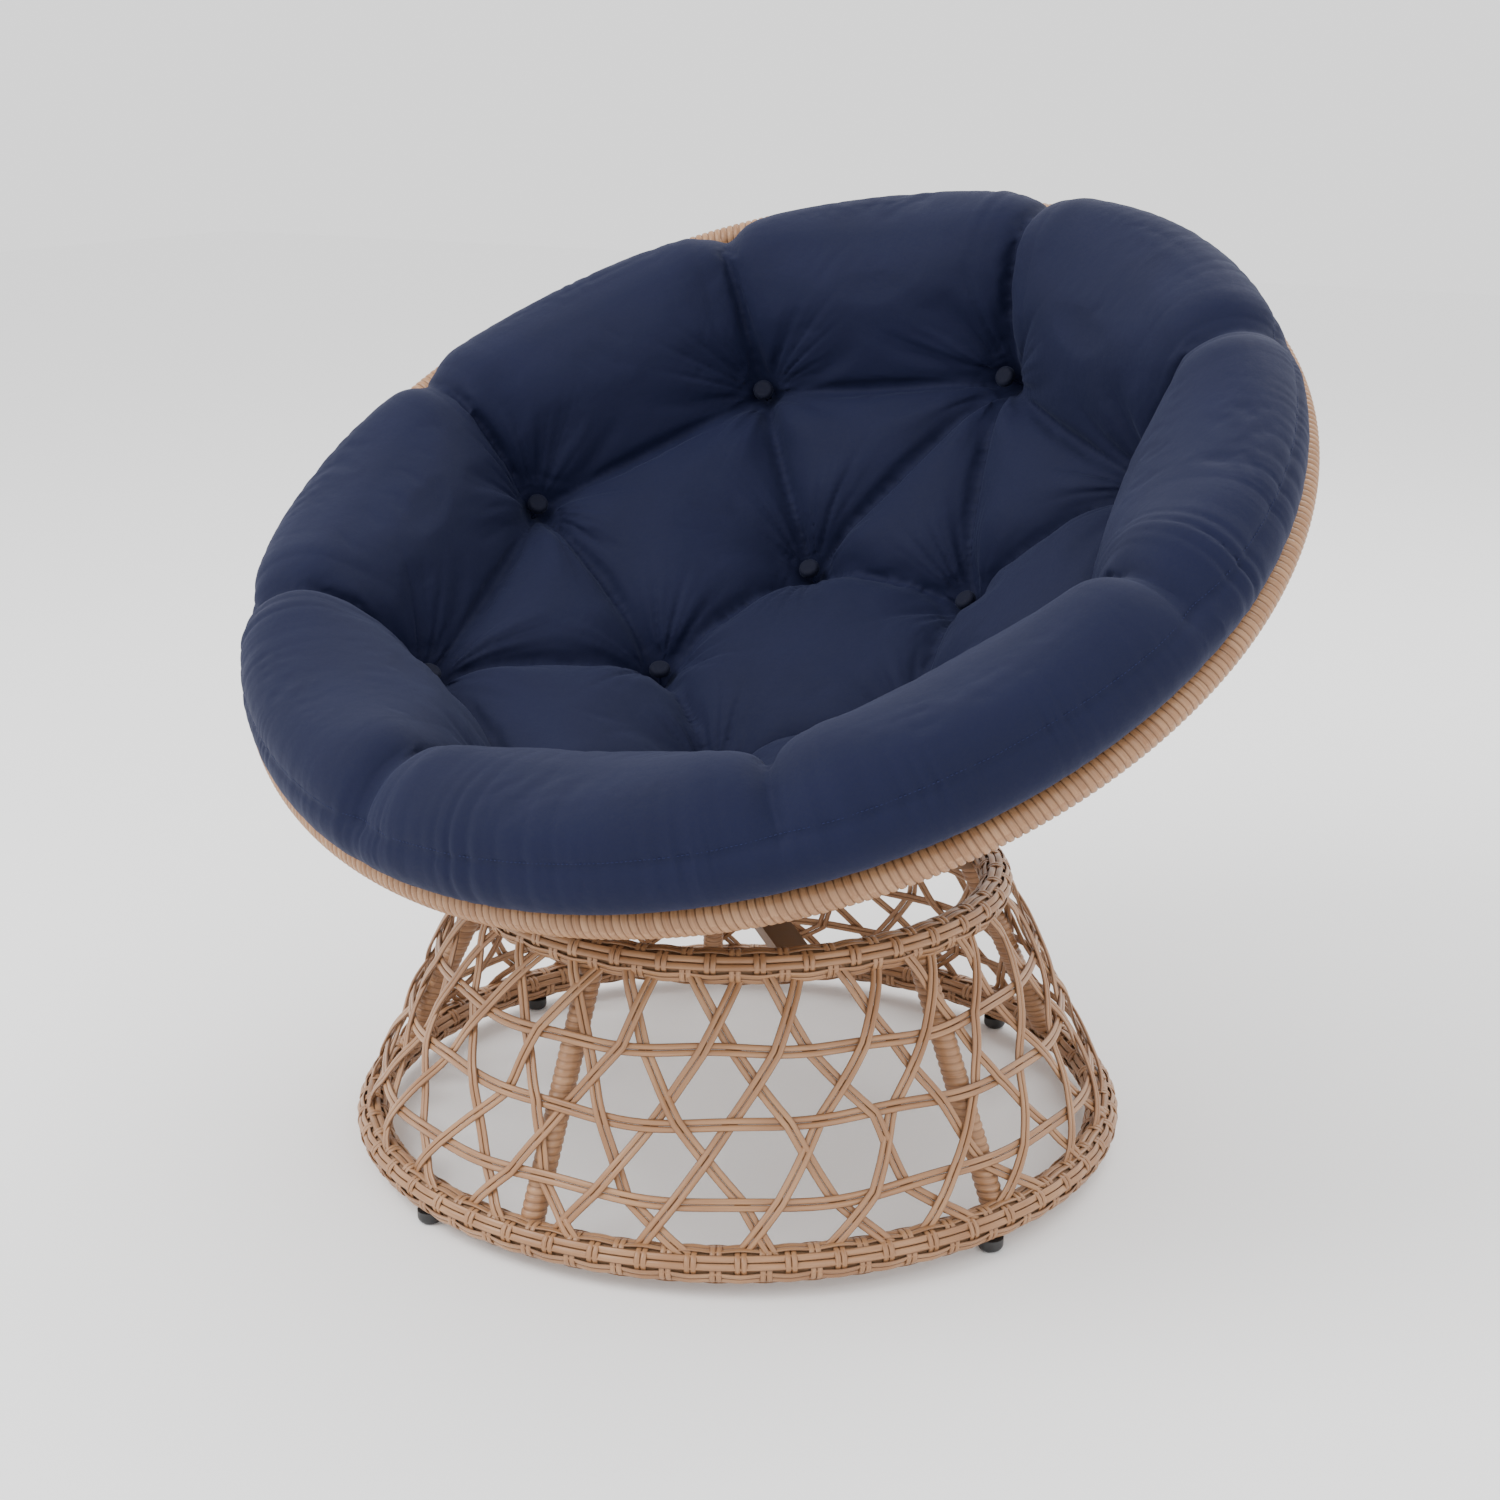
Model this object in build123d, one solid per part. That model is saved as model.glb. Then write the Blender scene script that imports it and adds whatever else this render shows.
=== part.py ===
from build123d import *
from math import asin, atan2, cos, degrees, hypot, radians, sin, sqrt
import os

# Swivel bowl chair with a removable tufted cushion. Millimetres, +Z up.
# The origin is on the floor, on the swivel axis. The low front of the bowl faces -Y.
# Angles round an axis are measured from the front (-Y) towards +X.

# ---- Driving dimensions ---------------------------------------------------

# Room left for the weld bead where one steel piece meets another
weld_gap = 0.1

# Rings of the stand: steel tube with a woven resin cover
bottom_ring_radius = 371.0
top_ring_radius = 258.0
top_ring_height = 266.0
ring_tube_diameter = 25.0
ring_tube_wall = 1.5
weave_thickness = 4.0
weave_end_gap = 1.0

# Glides under the bottom ring
glide_count = 4
glide_first_angle = -20.0
glide_diameter = 24.0
glide_foot_diameter = 14.0
glide_drop = 12.5
glide_shoulder = 6.0
glide_stem_diameter = 6.0
glide_stem_length = 8.0

# Wrapped legs between the rings
leg_count = 5
leg_first_angle = 0.0
leg_tube_diameter = 19.0
leg_tube_wall = 1.5
leg_wrap_thickness = 2.0
leg_inset = 6.0

# Lattice of twin strands outside the legs
strand_diameter = 5.0
strand_pair_pitch = 7.4
strand_layer_gap = 0.3
hoop_places = {"low": 0.20, "middle": 0.46, "high": 0.70}
slanted_pair_count = 26
slant_angle = 30.0
slant_variation = 2.0

# Cross bars and swivel plates inside the top ring
cross_bar_turn = 45.0
cross_bar_width = 30.0
cross_bar_depth = 12.0
swivel_plate_side = 170.0
swivel_plate_thickness = 4.0
swivel_gap = 2.0
ball_count = 24
ball_diameter = 8.0
ball_circle_radius = 50.0
ball_clearance = 0.3
cage_width = 12.0
cage_thickness = 1.2
cage_hole_clearance = 0.1
pivot_diameter = 12.0
pivot_clearance = 0.1
pivot_head_across_flats = 18.0
pivot_head_height = 7.5
pivot_washer_diameter = 24.0
pivot_washer_thickness = 2.0
pivot_end_play = 0.3
screw_diameter = 6.0
screw_head_diameter = 12.0
screw_hole_clearance = 0.2
nut_across_flats = 10.0
nut_height = 5.0
screw_tip = 1.0
lower_screw_radius = 95.0
upper_screw_radius = 70.0

# Bowl: a rim, ribs on a sphere, a middle ring and a woven basket
rim_radius = 520.0
rim_tube_diameter = 25.0
rim_tube_wall = 1.5
rim_wrap_thickness = 2.5
rim_centre_height = 621.0
rim_centre_back = 43.5
bowl_tilt = 31.0
bowl_depth = 275.0
rib_count = 8
rib_diameter = 10.0
hub_plate_radius = 90.0
hub_plate_thickness = 4.0
middle_ring_diameter = 8.0
middle_ring_polar = 34.0
layer_gap = 0.1
basket_thickness = 5.0

# Cradle between the upper swivel plate and the ribs
mount_plate_length = 200.0
mount_plate_thickness = 4.0
mount_plate_opening = 40.0
web_thickness = 5.0
web_spacing = 100.0
cross_web_spacing = 180.0
saddle_radius = 145.0
saddle_thickness = 3.0

# Cushion: a dished pad that has slid a little towards the front and the +X side of the bowl
cushion_slump = 3.2
cushion_side_slide = 2.5
cushion_bowl_gap = 6.0
cushion_thickness = 90.0
cushion_edge_polar = 56.5
cover_thickness = 1.5
seam_diameter = 3.0
seam_gap = 0.1
seam_angle = 45.0
outer_tuft_count = 8
outer_tuft_polar = 41.5
outer_tuft_first_angle = 31.0
inner_tuft_count = 5
inner_tuft_polar = 18.0
inner_tuft_first_angle = 64.0
tuft_depth = 42.0
tuft_floor_radius = 13.0
tuft_mouth_radius = 44.0
tuft_mouth_lift = 8.0
button_diameter = 22.0
button_height = 7.0
back_button_height = 4.0
tuft_cord_diameter = 3.0

# ---- Worked out from the driving dimensions -------------------------------

ring_tube_radius = ring_tube_diameter / 2
woven_radius = ring_tube_radius + weave_thickness
bottom_ring_height = glide_drop + woven_radius
wall_run = top_ring_radius - bottom_ring_radius
wall_rise = top_ring_height - bottom_ring_height
wall_length = hypot(wall_run, wall_rise)
leg_tube_radius = leg_tube_diameter / 2
leg_wrap_radius = leg_tube_radius + leg_wrap_thickness

strand_radius = strand_diameter / 2
strand_layer = strand_diameter + strand_layer_gap
strand_reach = woven_radius + strand_radius + weld_gap
hoop_offset = leg_wrap_radius - leg_inset + strand_layer_gap + strand_radius
slant_offsets = {"left": hoop_offset + strand_layer, "right": hoop_offset + 2 * strand_layer}

bar_bottom = top_ring_height - cross_bar_depth
bar_end = sqrt((top_ring_radius - ring_tube_radius)**2 - (cross_bar_width / 2)**2) - weld_gap
lower_plate_top = top_ring_height + swivel_plate_thickness
upper_plate_bottom = lower_plate_top + swivel_gap
upper_plate_top = upper_plate_bottom + swivel_plate_thickness
mount_plate_top = upper_plate_top + mount_plate_thickness
ball_height = (lower_plate_top + upper_plate_bottom) / 2
washer_bottom = upper_plate_top + pivot_end_play
pivot_nut_bottom = washer_bottom + pivot_washer_thickness
pivot_top = pivot_nut_bottom + pivot_head_height + screw_tip

bowl_radius = (rim_radius**2 + bowl_depth**2) / (2 * bowl_depth)
rim_polar = degrees(asin(rim_radius / bowl_radius))
rim_tube_radius = rim_tube_diameter / 2
rim_wrap_radius = rim_tube_radius + rim_wrap_thickness
bowl_axis = Vector(0, -sin(radians(bowl_tilt)), cos(radians(bowl_tilt)))
rim_centre = Vector(0, rim_centre_back, rim_centre_height)
bowl_centre = rim_centre + bowl_axis * (bowl_radius - bowl_depth)
bowl_frame = Location(bowl_centre) * Location((0, 0, 0), (bowl_tilt, 0, 0))
rib_radius = rib_diameter / 2
saddle_inner = bowl_radius + rib_radius
saddle_outer = saddle_inner + saddle_thickness
middle_ring_sphere = bowl_radius - rib_radius - layer_gap - middle_ring_diameter / 2
basket_outer = middle_ring_sphere - middle_ring_diameter / 2 - layer_gap
basket_inner = basket_outer - basket_thickness
basket_edge_polar = rim_polar - degrees((rim_wrap_radius + layer_gap) / bowl_radius)

cushion_turn = Location((0, 0, 0), (bowl_tilt - cushion_slump, -cushion_side_slide, 0))
cushion_frame = Location(bowl_centre) * cushion_turn
cushion_outer = basket_inner - cushion_bowl_gap
cushion_inner = cushion_outer - cushion_thickness
cushion_middle = (cushion_outer + cushion_inner) / 2


# ---- Helpers --------------------------------------------------------------

def round_place(radius, angle, height=0.0):
    """A point at a radius and an angle from the front, in the chair's frame."""
    turn = radians(angle)
    return Vector(radius * sin(turn), -radius * cos(turn), height)


def wall_point(place, offset, angle):
    """A point on the stand's conical wall: place 0 is the bottom ring, 1 the top ring."""
    radius = bottom_ring_radius + wall_run * place + offset * wall_rise / wall_length
    height = bottom_ring_height + wall_rise * place - offset * wall_run / wall_length
    return round_place(radius, angle, height)


def bowl_direction(polar, angle):
    """A unit vector from the bowl's centre, polar 0 being its deepest point."""
    across = sin(radians(polar))
    return Vector(across * sin(radians(angle)), -across * cos(radians(angle)), -cos(radians(polar)))


def rod(start, end, radius):
    """A round bar from one point to another."""
    run = end - start
    plane = Plane(origin=start, z_dir=run)
    return plane * Cylinder(radius, run.length, align=(Align.CENTER, Align.CENTER, Align.MIN))


def ring_at(radius, thickness_radius, height):
    """A round ring about the swivel axis."""
    return Pos(0, 0, height) * Torus(radius, thickness_radius)


def ring_sleeve(radius, outer, inner, height, start=0.0, end=360.0):
    """A hollow ring, or a stretch of one between two angles from the front."""
    section = Pos(radius, 0) * (Circle(outer) - Circle(inner))
    turned = revolve(Plane.XZ * section, Axis.Z, revolution_arc=end - start)
    return Pos(0, 0, height) * Rot(Z=start - 90) * turned


def upright(radius, bottom, top):
    """A round bar on the swivel axis."""
    return Pos(0, 0, bottom) * Cylinder(radius, top - bottom, align=(Align.CENTER, Align.CENTER, Align.MIN))


def hexagon(across_flats, bottom, height, hole_radius=0.0):
    """A hexagon head or nut on the swivel axis."""
    outline = RegularPolygon(across_flats / 2, 6, major_radius=False)
    body = Pos(0, 0, bottom) * extrude(outline, height)
    if hole_radius > 0:
        body -= upright(hole_radius, bottom, bottom + height)
    return body


def block(x_low, x_high, y_low, y_high, z_low, z_high):
    """A box between two corners."""
    box = Box(x_high - x_low, y_high - y_low, z_high - z_low, align=(Align.MIN, Align.MIN, Align.MIN))
    return Pos(x_low, y_low, z_low) * box


def save(shape, node):
    """Write one node; a list of separate solids becomes one group."""
    if isinstance(shape, list):
        shape = Compound(children=shape)
    export_step(shape, f"parts/{node}.step")


# ---- Stand ----------------------------------------------------------------

def glide_angles():
    return [glide_first_angle + 360 / glide_count * k for k in range(glide_count)]


def leg_angles():
    return [leg_first_angle + 360 / leg_count * k for k in range(leg_count)]


def bar_angles():
    return [cross_bar_turn + 90 * k for k in range(4)]


def glide_stem(angle):
    top = bottom_ring_height - ring_tube_radius + glide_stem_length
    place = round_place(bottom_ring_radius, angle)
    return Pos(place.X, place.Y, 0) * upright(glide_stem_diameter / 2, glide_drop / 2, top)


def glide(angle):
    """A rounded plastic foot under the woven ring, with a stem pushed into the tube."""
    foot = glide_foot_diameter / 2
    outer = glide_diameter / 2
    shoulder = glide_drop - glide_shoulder
    side = TangentArc((foot, 0), (outer, shoulder), tangent=(1, 0.25))
    sides = Polyline((outer, shoulder), (outer, glide_drop), (0, glide_drop), (0, 0), (foot, 0))
    outline = Plane.XZ * make_face([side, sides])
    place = round_place(bottom_ring_radius, angle)
    return Pos(place.X, place.Y, 0) * revolve(outline, Axis.Z) + glide_stem(angle)


def weave_stretches(radius, height, breaks):
    """The woven cover of a ring, left open where legs or bars are welded on."""
    ordered = sorted(breaks)
    inner = radius - woven_radius
    stretches = []
    for (angle, half), (next_angle, next_half) in zip(ordered, ordered[1:] + ordered[:1]):
        start = angle + degrees(half / inner)
        end = next_angle - degrees(next_half / inner)
        if end < start:
            end += 360
        stretches.append(ring_sleeve(radius, woven_radius, ring_tube_radius, height, start, end))
    return stretches


def leg_rod(angle, radius, ring_distance):
    """A bar along a leg, ending the given distance short of both rings' centrelines."""
    place = ring_distance / wall_length
    start = wall_point(place, -leg_inset, angle)
    finish = wall_point(1 - place, -leg_inset, angle)
    return rod(start, finish, radius)


def build_stand():
    leg_breaks = [(angle % 360, leg_wrap_radius + weave_end_gap) for angle in leg_angles()]
    bar_breaks = [(angle % 360, cross_bar_width / 2 + weave_end_gap) for angle in bar_angles()]
    stems = [glide_stem(angle) for angle in glide_angles()]
    bore = ring_tube_radius - ring_tube_wall

    bottom_tube = ring_sleeve(bottom_ring_radius, ring_tube_radius, bore, bottom_ring_height)
    save(bottom_tube - stems, "bottom_ring_tube")
    bottom_weave = weave_stretches(bottom_ring_radius, bottom_ring_height, leg_breaks)
    save([stretch - stems for stretch in bottom_weave], "bottom_ring_weave")
    save(ring_sleeve(top_ring_radius, ring_tube_radius, bore, top_ring_height), "top_ring_tube")
    save(weave_stretches(top_ring_radius, top_ring_height, leg_breaks + bar_breaks), "top_ring_weave")

    tube_end = ring_tube_radius + weld_gap
    wrap_end = woven_radius + weave_end_gap
    for k, angle in enumerate(leg_angles()):
        tube = leg_rod(angle, leg_tube_radius, tube_end)
        save(tube - leg_rod(angle, leg_tube_radius - leg_tube_wall, tube_end), f"leg_{k + 1}_tube")
        wrap = leg_rod(angle, leg_wrap_radius, wrap_end)
        save(wrap - leg_rod(angle, leg_tube_radius, wrap_end), f"leg_{k + 1}_wrap")

    for k, angle in enumerate(glide_angles()):
        save(glide(angle), f"floor_glide_{k + 1}")


def slanted_strand(place_angle, lean, offset, side):
    """One strand that climbs the wall in straight runs between the hoops."""
    end_place = sqrt(strand_reach**2 - offset**2) / wall_length
    stations = [end_place] + list(hoop_places.values()) + [1 - end_place]
    points = []
    for place in stations:
        radius = bottom_ring_radius + wall_run * place
        shift = degrees(side * strand_pair_pitch / 2 / radius)
        points.append(wall_point(place, offset, place_angle + lean * place + shift))
    path = Polyline(*points)
    section = Plane(origin=points[0], z_dir=points[1] - points[0]) * Circle(strand_radius)
    return sweep(section, path=path, transition=Transition.RIGHT)


def build_lattice():
    for name, place in hoop_places.items():
        hoops = []
        for side in (-1, 1):
            along = place + side * (strand_diameter + strand_layer_gap) / 2 / wall_length
            centre = wall_point(along, hoop_offset, 0)
            hoops.append(ring_at(-centre.Y, strand_radius, centre.Z))
        save(hoops, f"lattice_hoop_{name}")
    for name, sign in (("left", -1), ("right", 1)):
        strands = []
        for k in range(slanted_pair_count):
            start = 360 / slanted_pair_count * (k + 0.5) - sign * slant_angle / 2
            lean = sign * (slant_angle + slant_variation * sin(2.4 * k))
            for side in (-1, 1):
                strands.append(slanted_strand(start, lean, slant_offsets[name], side))
        save(strands, f"lattice_strands_{name}")


# ---- Swivel ---------------------------------------------------------------

def screw(x, y, head_face, tip, clearance=0.0):
    """A countersunk screw; its head is flush with head_face and its shank runs to tip."""
    shank = screw_diameter / 2 + clearance
    head = screw_head_diameter / 2 + clearance
    up = 1 if tip > head_face else -1
    shank_body = upright(shank, min(head_face, tip), max(head_face, tip))
    taper = Cone(head, shank, head - shank, align=(Align.CENTER, Align.CENTER, Align.MIN))
    if up < 0:
        taper = Rot(X=180) * taper
    return Pos(x, y, 0) * (shank_body + Pos(0, 0, head_face) * taper)


def build_swivel():
    lower_points = [round_place(lower_screw_radius, angle) for angle in bar_angles()]
    upper_points = [round_place(upper_screw_radius, 90 * k) for k in range(4)]
    lower_places = [(point.X, point.Y) for point in lower_points]
    upper_places = [(point.X, point.Y) for point in upper_points]
    lower_tip = bar_bottom - nut_height - screw_tip
    upper_tip = mount_plate_top + nut_height + screw_tip
    groove = ring_at(ball_circle_radius, ball_diameter / 2 + ball_clearance, ball_height)
    half = swivel_plate_side / 2
    pivot_radius = pivot_diameter / 2
    fixed_hole = upright(pivot_radius + screw_hole_clearance, bar_bottom, lower_plate_top)
    lower_holes = [screw(x, y, lower_plate_top, lower_tip, screw_hole_clearance) for x, y in lower_places]
    upper_holes = [screw(x, y, upper_plate_bottom, upper_tip, screw_hole_clearance) for x, y in upper_places]

    width = cross_bar_width / 2
    turned = Rot(Z=cross_bar_turn)
    long_bar = turned * block(-bar_end, bar_end, -width, width, bar_bottom, top_ring_height)
    near_bar = turned * block(-width, width, -bar_end, -width, bar_bottom, top_ring_height)
    far_bar = turned * block(-width, width, width, bar_end, bar_bottom, top_ring_height)
    save(long_bar - lower_holes - fixed_hole, "cross_bar_long")
    save([near_bar - lower_holes, far_bar - lower_holes], "cross_bar_halves")

    lower_plate = block(-half, half, -half, half, top_ring_height, lower_plate_top)
    lower_plate = lower_plate - groove - lower_holes - fixed_hole
    save(lower_plate, "swivel_plate_lower")
    save([screw(x, y, lower_plate_top, lower_tip) for x, y in lower_places], "lower_plate_screws")
    nut = hexagon(nut_across_flats, bar_bottom - nut_height, nut_height, screw_diameter / 2)
    save([Pos(x, y, 0) * nut for x, y in lower_places], "lower_plate_nuts")

    pivot = hexagon(pivot_head_across_flats, bar_bottom - pivot_head_height, pivot_head_height)
    pivot += upright(pivot_radius, bar_bottom - 1, pivot_top)
    washer = upright(pivot_washer_diameter / 2, washer_bottom, pivot_nut_bottom)
    washer -= upright(pivot_radius, washer_bottom, pivot_nut_bottom)
    save(pivot, "pivot_bolt")
    save(washer, "pivot_washer")
    save(hexagon(pivot_head_across_flats, pivot_nut_bottom, pivot_head_height, pivot_radius), "pivot_nut")

    cage = upright(ball_circle_radius + cage_width / 2, ball_height - cage_thickness / 2,
                   ball_height + cage_thickness / 2)
    cage -= upright(ball_circle_radius - cage_width / 2, ball_height - 1, ball_height + 1)
    balls = []
    pockets = []
    for k in range(ball_count):
        place = round_place(ball_circle_radius, 360 / ball_count * k, ball_height)
        balls.append(Location(place) * Sphere(ball_diameter / 2))
        pockets.append(Location(place) * Sphere(ball_diameter / 2 + cage_hole_clearance))
    save(cage - pockets, "ball_cage")
    save(balls, "bearing_balls")

    upper_plate = block(-half, half, -half, half, upper_plate_bottom, upper_plate_top)
    upper_plate -= upright(pivot_radius + pivot_clearance, upper_plate_bottom, upper_plate_top)
    save(upper_plate - groove - upper_holes, "swivel_plate_upper")
    save([screw(x, y, upper_plate_bottom, upper_tip) for x, y in upper_places], "upper_plate_screws")
    nut = hexagon(nut_across_flats, mount_plate_top, nut_height, screw_diameter / 2)
    save([Pos(x, y, 0) * nut for x, y in upper_places], "upper_plate_nuts")

    long_half = mount_plate_length / 2
    mount_plate = block(-half, half, -long_half, long_half, upper_plate_top, mount_plate_top)
    mount_plate -= upright(mount_plate_opening / 2, upper_plate_top, mount_plate_top)
    save(mount_plate - upper_holes, "bowl_mount_plate")


# ---- Bowl -----------------------------------------------------------------

def build_cradle():
    """Upright webs and a dished saddle that carry the ribs on the mount plate."""
    hollow = Location(bowl_centre) * Sphere(saddle_outer)
    long_half = mount_plate_length / 2
    thick = web_thickness / 2
    web_top = bowl_centre.Z
    webs = []
    for side in (-1, 1):
        x = side * web_spacing / 2
        webs.append(block(x - thick, x + thick, -long_half, long_half, mount_plate_top, web_top) - hollow)
        y = side * cross_web_spacing / 2
        inner = web_spacing / 2 - thick
        webs.append(block(-inner, inner, y - thick, y + thick, mount_plate_top, web_top) - hollow)
    save(webs, "cradle_webs")
    dish = Location(bowl_centre) * Sphere(saddle_outer) - Location(bowl_centre) * Sphere(saddle_inner)
    dish &= upright(saddle_radius, mount_plate_top, bowl_centre.Z)
    save(dish, "cradle_saddle")


def dish_shell(outer, inner, edge_polar):
    """A spherical dish between two radii, out to a polar angle, in the bowl's own frame."""
    edge = radians(edge_polar)
    out_end = (outer * sin(edge), -outer * cos(edge))
    in_end = (inner * sin(edge), -inner * cos(edge))
    outer_arc = ThreePointArc((0, -outer), (outer * sin(edge / 2), -outer * cos(edge / 2)), out_end)
    inner_arc = ThreePointArc(in_end, (inner * sin(edge / 2), -inner * cos(edge / 2)), (0, -inner))
    lines = [outer_arc, Line(out_end, in_end), inner_arc, Line((0, -inner), (0, -outer))]
    return revolve(Plane.XZ * make_face(lines), Axis.Z)


def build_bowl():
    rim_place = Location(rim_centre) * Location((0, 0, 0), (bowl_tilt, 0, 0))
    rim_core = rim_place * Torus(rim_radius, rim_tube_radius)
    rim_bore = rim_place * Torus(rim_radius, rim_tube_radius - rim_tube_wall)
    rim_cover = rim_place * Torus(rim_radius, rim_wrap_radius)

    hub_outer = bowl_radius + hub_plate_thickness / 2
    hub_polar = degrees(asin(hub_plate_radius / bowl_radius))
    hub = bowl_frame * dish_shell(hub_outer, hub_outer - hub_plate_thickness, hub_polar)
    save(hub, "bowl_hub_plate")

    bare_ribs = []
    for k in range(rib_count):
        angle = 360 / rib_count * k
        polars = (hub_polar, (hub_polar + rim_polar) / 2, rim_polar)
        arc = ThreePointArc(*(bowl_direction(polar, angle) * bowl_radius for polar in polars))
        section = Plane(origin=arc @ 0, z_dir=arc % 0) * Circle(rib_radius)
        bare_ribs.append(bowl_frame * sweep(section, path=arc))
    for k, bare in enumerate(bare_ribs):
        rib = bare - rim_core - hub
        save(max(rib.solids(), key=lambda piece: piece.volume), f"bowl_rib_{k + 1}")

    save(rim_core - rim_bore, "rim_tube")
    save(rim_cover - rim_core - bare_ribs, "rim_wrap")

    ring_radius = middle_ring_sphere * sin(radians(middle_ring_polar))
    ring_depth = -middle_ring_sphere * cos(radians(middle_ring_polar))
    middle_ring = bowl_frame * Pos(0, 0, ring_depth) * Torus(ring_radius, middle_ring_diameter / 2)
    save(middle_ring, "bowl_middle_ring")
    save(bowl_frame * dish_shell(basket_outer, basket_inner, basket_edge_polar), "bowl_basket")


# ---- Cushion --------------------------------------------------------------

def tuft_places():
    rings = ((outer_tuft_count, outer_tuft_polar, outer_tuft_first_angle),
             (inner_tuft_count, inner_tuft_polar, inner_tuft_first_angle))
    places = []
    for count, polar, first in rings:
        places += [bowl_direction(polar, first + 360 / count * k) for k in range(count)]
    return places


def cushion_body(inset):
    """The pad's outer form, shrunk by an inset, with a funnel at each tuft."""
    edge = radians(cushion_edge_polar)
    out_radius = cushion_outer - inset
    in_radius = cushion_inner + inset
    tip_reach = cushion_thickness / 2 - inset
    out_end = (out_radius * sin(edge), -out_radius * cos(edge))
    in_end = (in_radius * sin(edge), -in_radius * cos(edge))
    tip = (cushion_middle * sin(edge) + tip_reach * cos(edge), -cushion_middle * cos(edge) + tip_reach * sin(edge))
    out_mid = (out_radius * sin(edge / 2), -out_radius * cos(edge / 2))
    in_mid = (in_radius * sin(edge / 2), -in_radius * cos(edge / 2))
    lines = [ThreePointArc((0, -out_radius), out_mid, out_end), ThreePointArc(out_end, tip, in_end),
             ThreePointArc(in_end, in_mid, (0, -in_radius)), Line((0, -in_radius), (0, -out_radius))]
    body = revolve(Plane.XZ * make_face(lines), Axis.Z)
    mouth = cushion_inner - tuft_mouth_lift
    floor = cushion_inner + tuft_depth + inset
    funnels = []
    for way in tuft_places():
        cone = Cone(tuft_mouth_radius + inset, tuft_floor_radius + inset, floor - mouth,
                    align=(Align.CENTER, Align.CENTER, Align.MIN))
        funnels.append(Plane(origin=way * mouth, z_dir=way) * cone)
    return body - funnels


def build_cushion():
    floor = cushion_inner + tuft_depth
    cords = []
    buttons = []
    back_buttons = []
    for way in tuft_places():
        cords.append(rod(way * floor, way * cushion_outer, tuft_cord_diameter / 2))
        dome = Cylinder(button_diameter / 2, button_height, align=(Align.CENTER, Align.CENTER, Align.MAX))
        dome = fillet(dome.edges().group_by(Axis.Z)[0], button_height * 0.6)
        buttons.append(Plane(origin=way * floor, z_dir=way) * dome)
        disc = Cylinder(button_diameter / 2, back_button_height, align=(Align.CENTER, Align.CENTER, Align.MIN))
        disc = fillet(disc.edges().group_by(Axis.Z)[-1], back_button_height * 0.6)
        back_buttons.append(Plane(origin=way * cushion_outer, z_dir=way) * disc)

    edge = radians(cushion_edge_polar)
    turn = radians(seam_angle)
    reach = cushion_thickness / 2 + seam_diameter / 2 + seam_gap
    seam_radius = cushion_middle + reach * cos(turn)
    seam_across = seam_radius * sin(edge) + reach * sin(turn) * cos(edge)
    seam_depth = -seam_radius * cos(edge) + reach * sin(turn) * sin(edge)
    seam = Pos(0, 0, seam_depth) * Torus(seam_across, seam_diameter / 2)

    outside = cushion_body(0)
    filling = cushion_body(cover_thickness)
    shell = outside - filling - cords
    seam_polar = degrees(atan2(seam_across, -seam_depth))
    lower = shell & dish_shell(cushion_outer + cover_thickness, cushion_middle, seam_polar)
    save(cushion_frame * filling - [cushion_frame * cord for cord in cords], "cushion_filling")
    save(cushion_frame * (shell - lower), "cushion_top_cover")
    save(cushion_frame * lower, "cushion_bottom_cover")
    save(cushion_frame * seam, "cushion_seam")
    save([cushion_frame * cord for cord in cords], "tuft_cords")
    save([cushion_frame * button for button in buttons], "tuft_buttons_top")
    save([cushion_frame * button for button in back_buttons], "tuft_buttons_underside")


os.makedirs("parts", exist_ok=True)
build_stand()
build_lattice()
build_swivel()
build_cradle()
build_bowl()
build_cushion()
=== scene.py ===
import math
import bpy
import numpy as np
from mathutils import Matrix, Vector


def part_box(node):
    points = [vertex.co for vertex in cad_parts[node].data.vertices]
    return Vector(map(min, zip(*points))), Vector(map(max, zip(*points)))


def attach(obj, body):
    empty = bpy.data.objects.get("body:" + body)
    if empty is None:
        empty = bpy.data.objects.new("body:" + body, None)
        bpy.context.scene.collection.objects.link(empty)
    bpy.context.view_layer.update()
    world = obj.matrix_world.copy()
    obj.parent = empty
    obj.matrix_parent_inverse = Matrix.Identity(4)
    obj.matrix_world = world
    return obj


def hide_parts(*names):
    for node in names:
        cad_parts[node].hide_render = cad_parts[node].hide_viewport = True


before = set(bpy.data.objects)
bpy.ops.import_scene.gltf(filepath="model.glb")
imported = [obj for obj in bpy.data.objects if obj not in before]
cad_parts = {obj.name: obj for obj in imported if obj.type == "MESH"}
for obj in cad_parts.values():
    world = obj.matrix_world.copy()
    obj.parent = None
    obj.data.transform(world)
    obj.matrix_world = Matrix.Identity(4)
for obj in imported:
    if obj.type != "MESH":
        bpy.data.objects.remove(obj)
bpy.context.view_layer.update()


# --- Room -------------------------------------------------------------------
# A plain pale floor under an even white sky, with three large soft lamps.
# None of it belongs to the chair.

floor_mesh = bpy.data.meshes.new("floor")
floor_mesh.from_pydata([(-9, -9, 0), (9, -9, 0), (9, 9, 0), (-9, 9, 0)], [], [(0, 1, 2, 3)])
floor = bpy.data.objects.new("floor", floor_mesh)
bpy.context.collection.objects.link(floor)

floor_paint = bpy.data.materials.new("floor_paint")
floor_paint.use_nodes = True
floor_shader = floor_paint.node_tree.nodes["Principled BSDF"]
floor_shader.inputs["Base Color"].default_value = (0.96, 0.96, 0.96, 1)
floor_shader.inputs["Roughness"].default_value = 0.85
floor_shader.inputs["Specular IOR Level"].default_value = 0.1
floor_mesh.materials.append(floor_paint)

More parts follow.
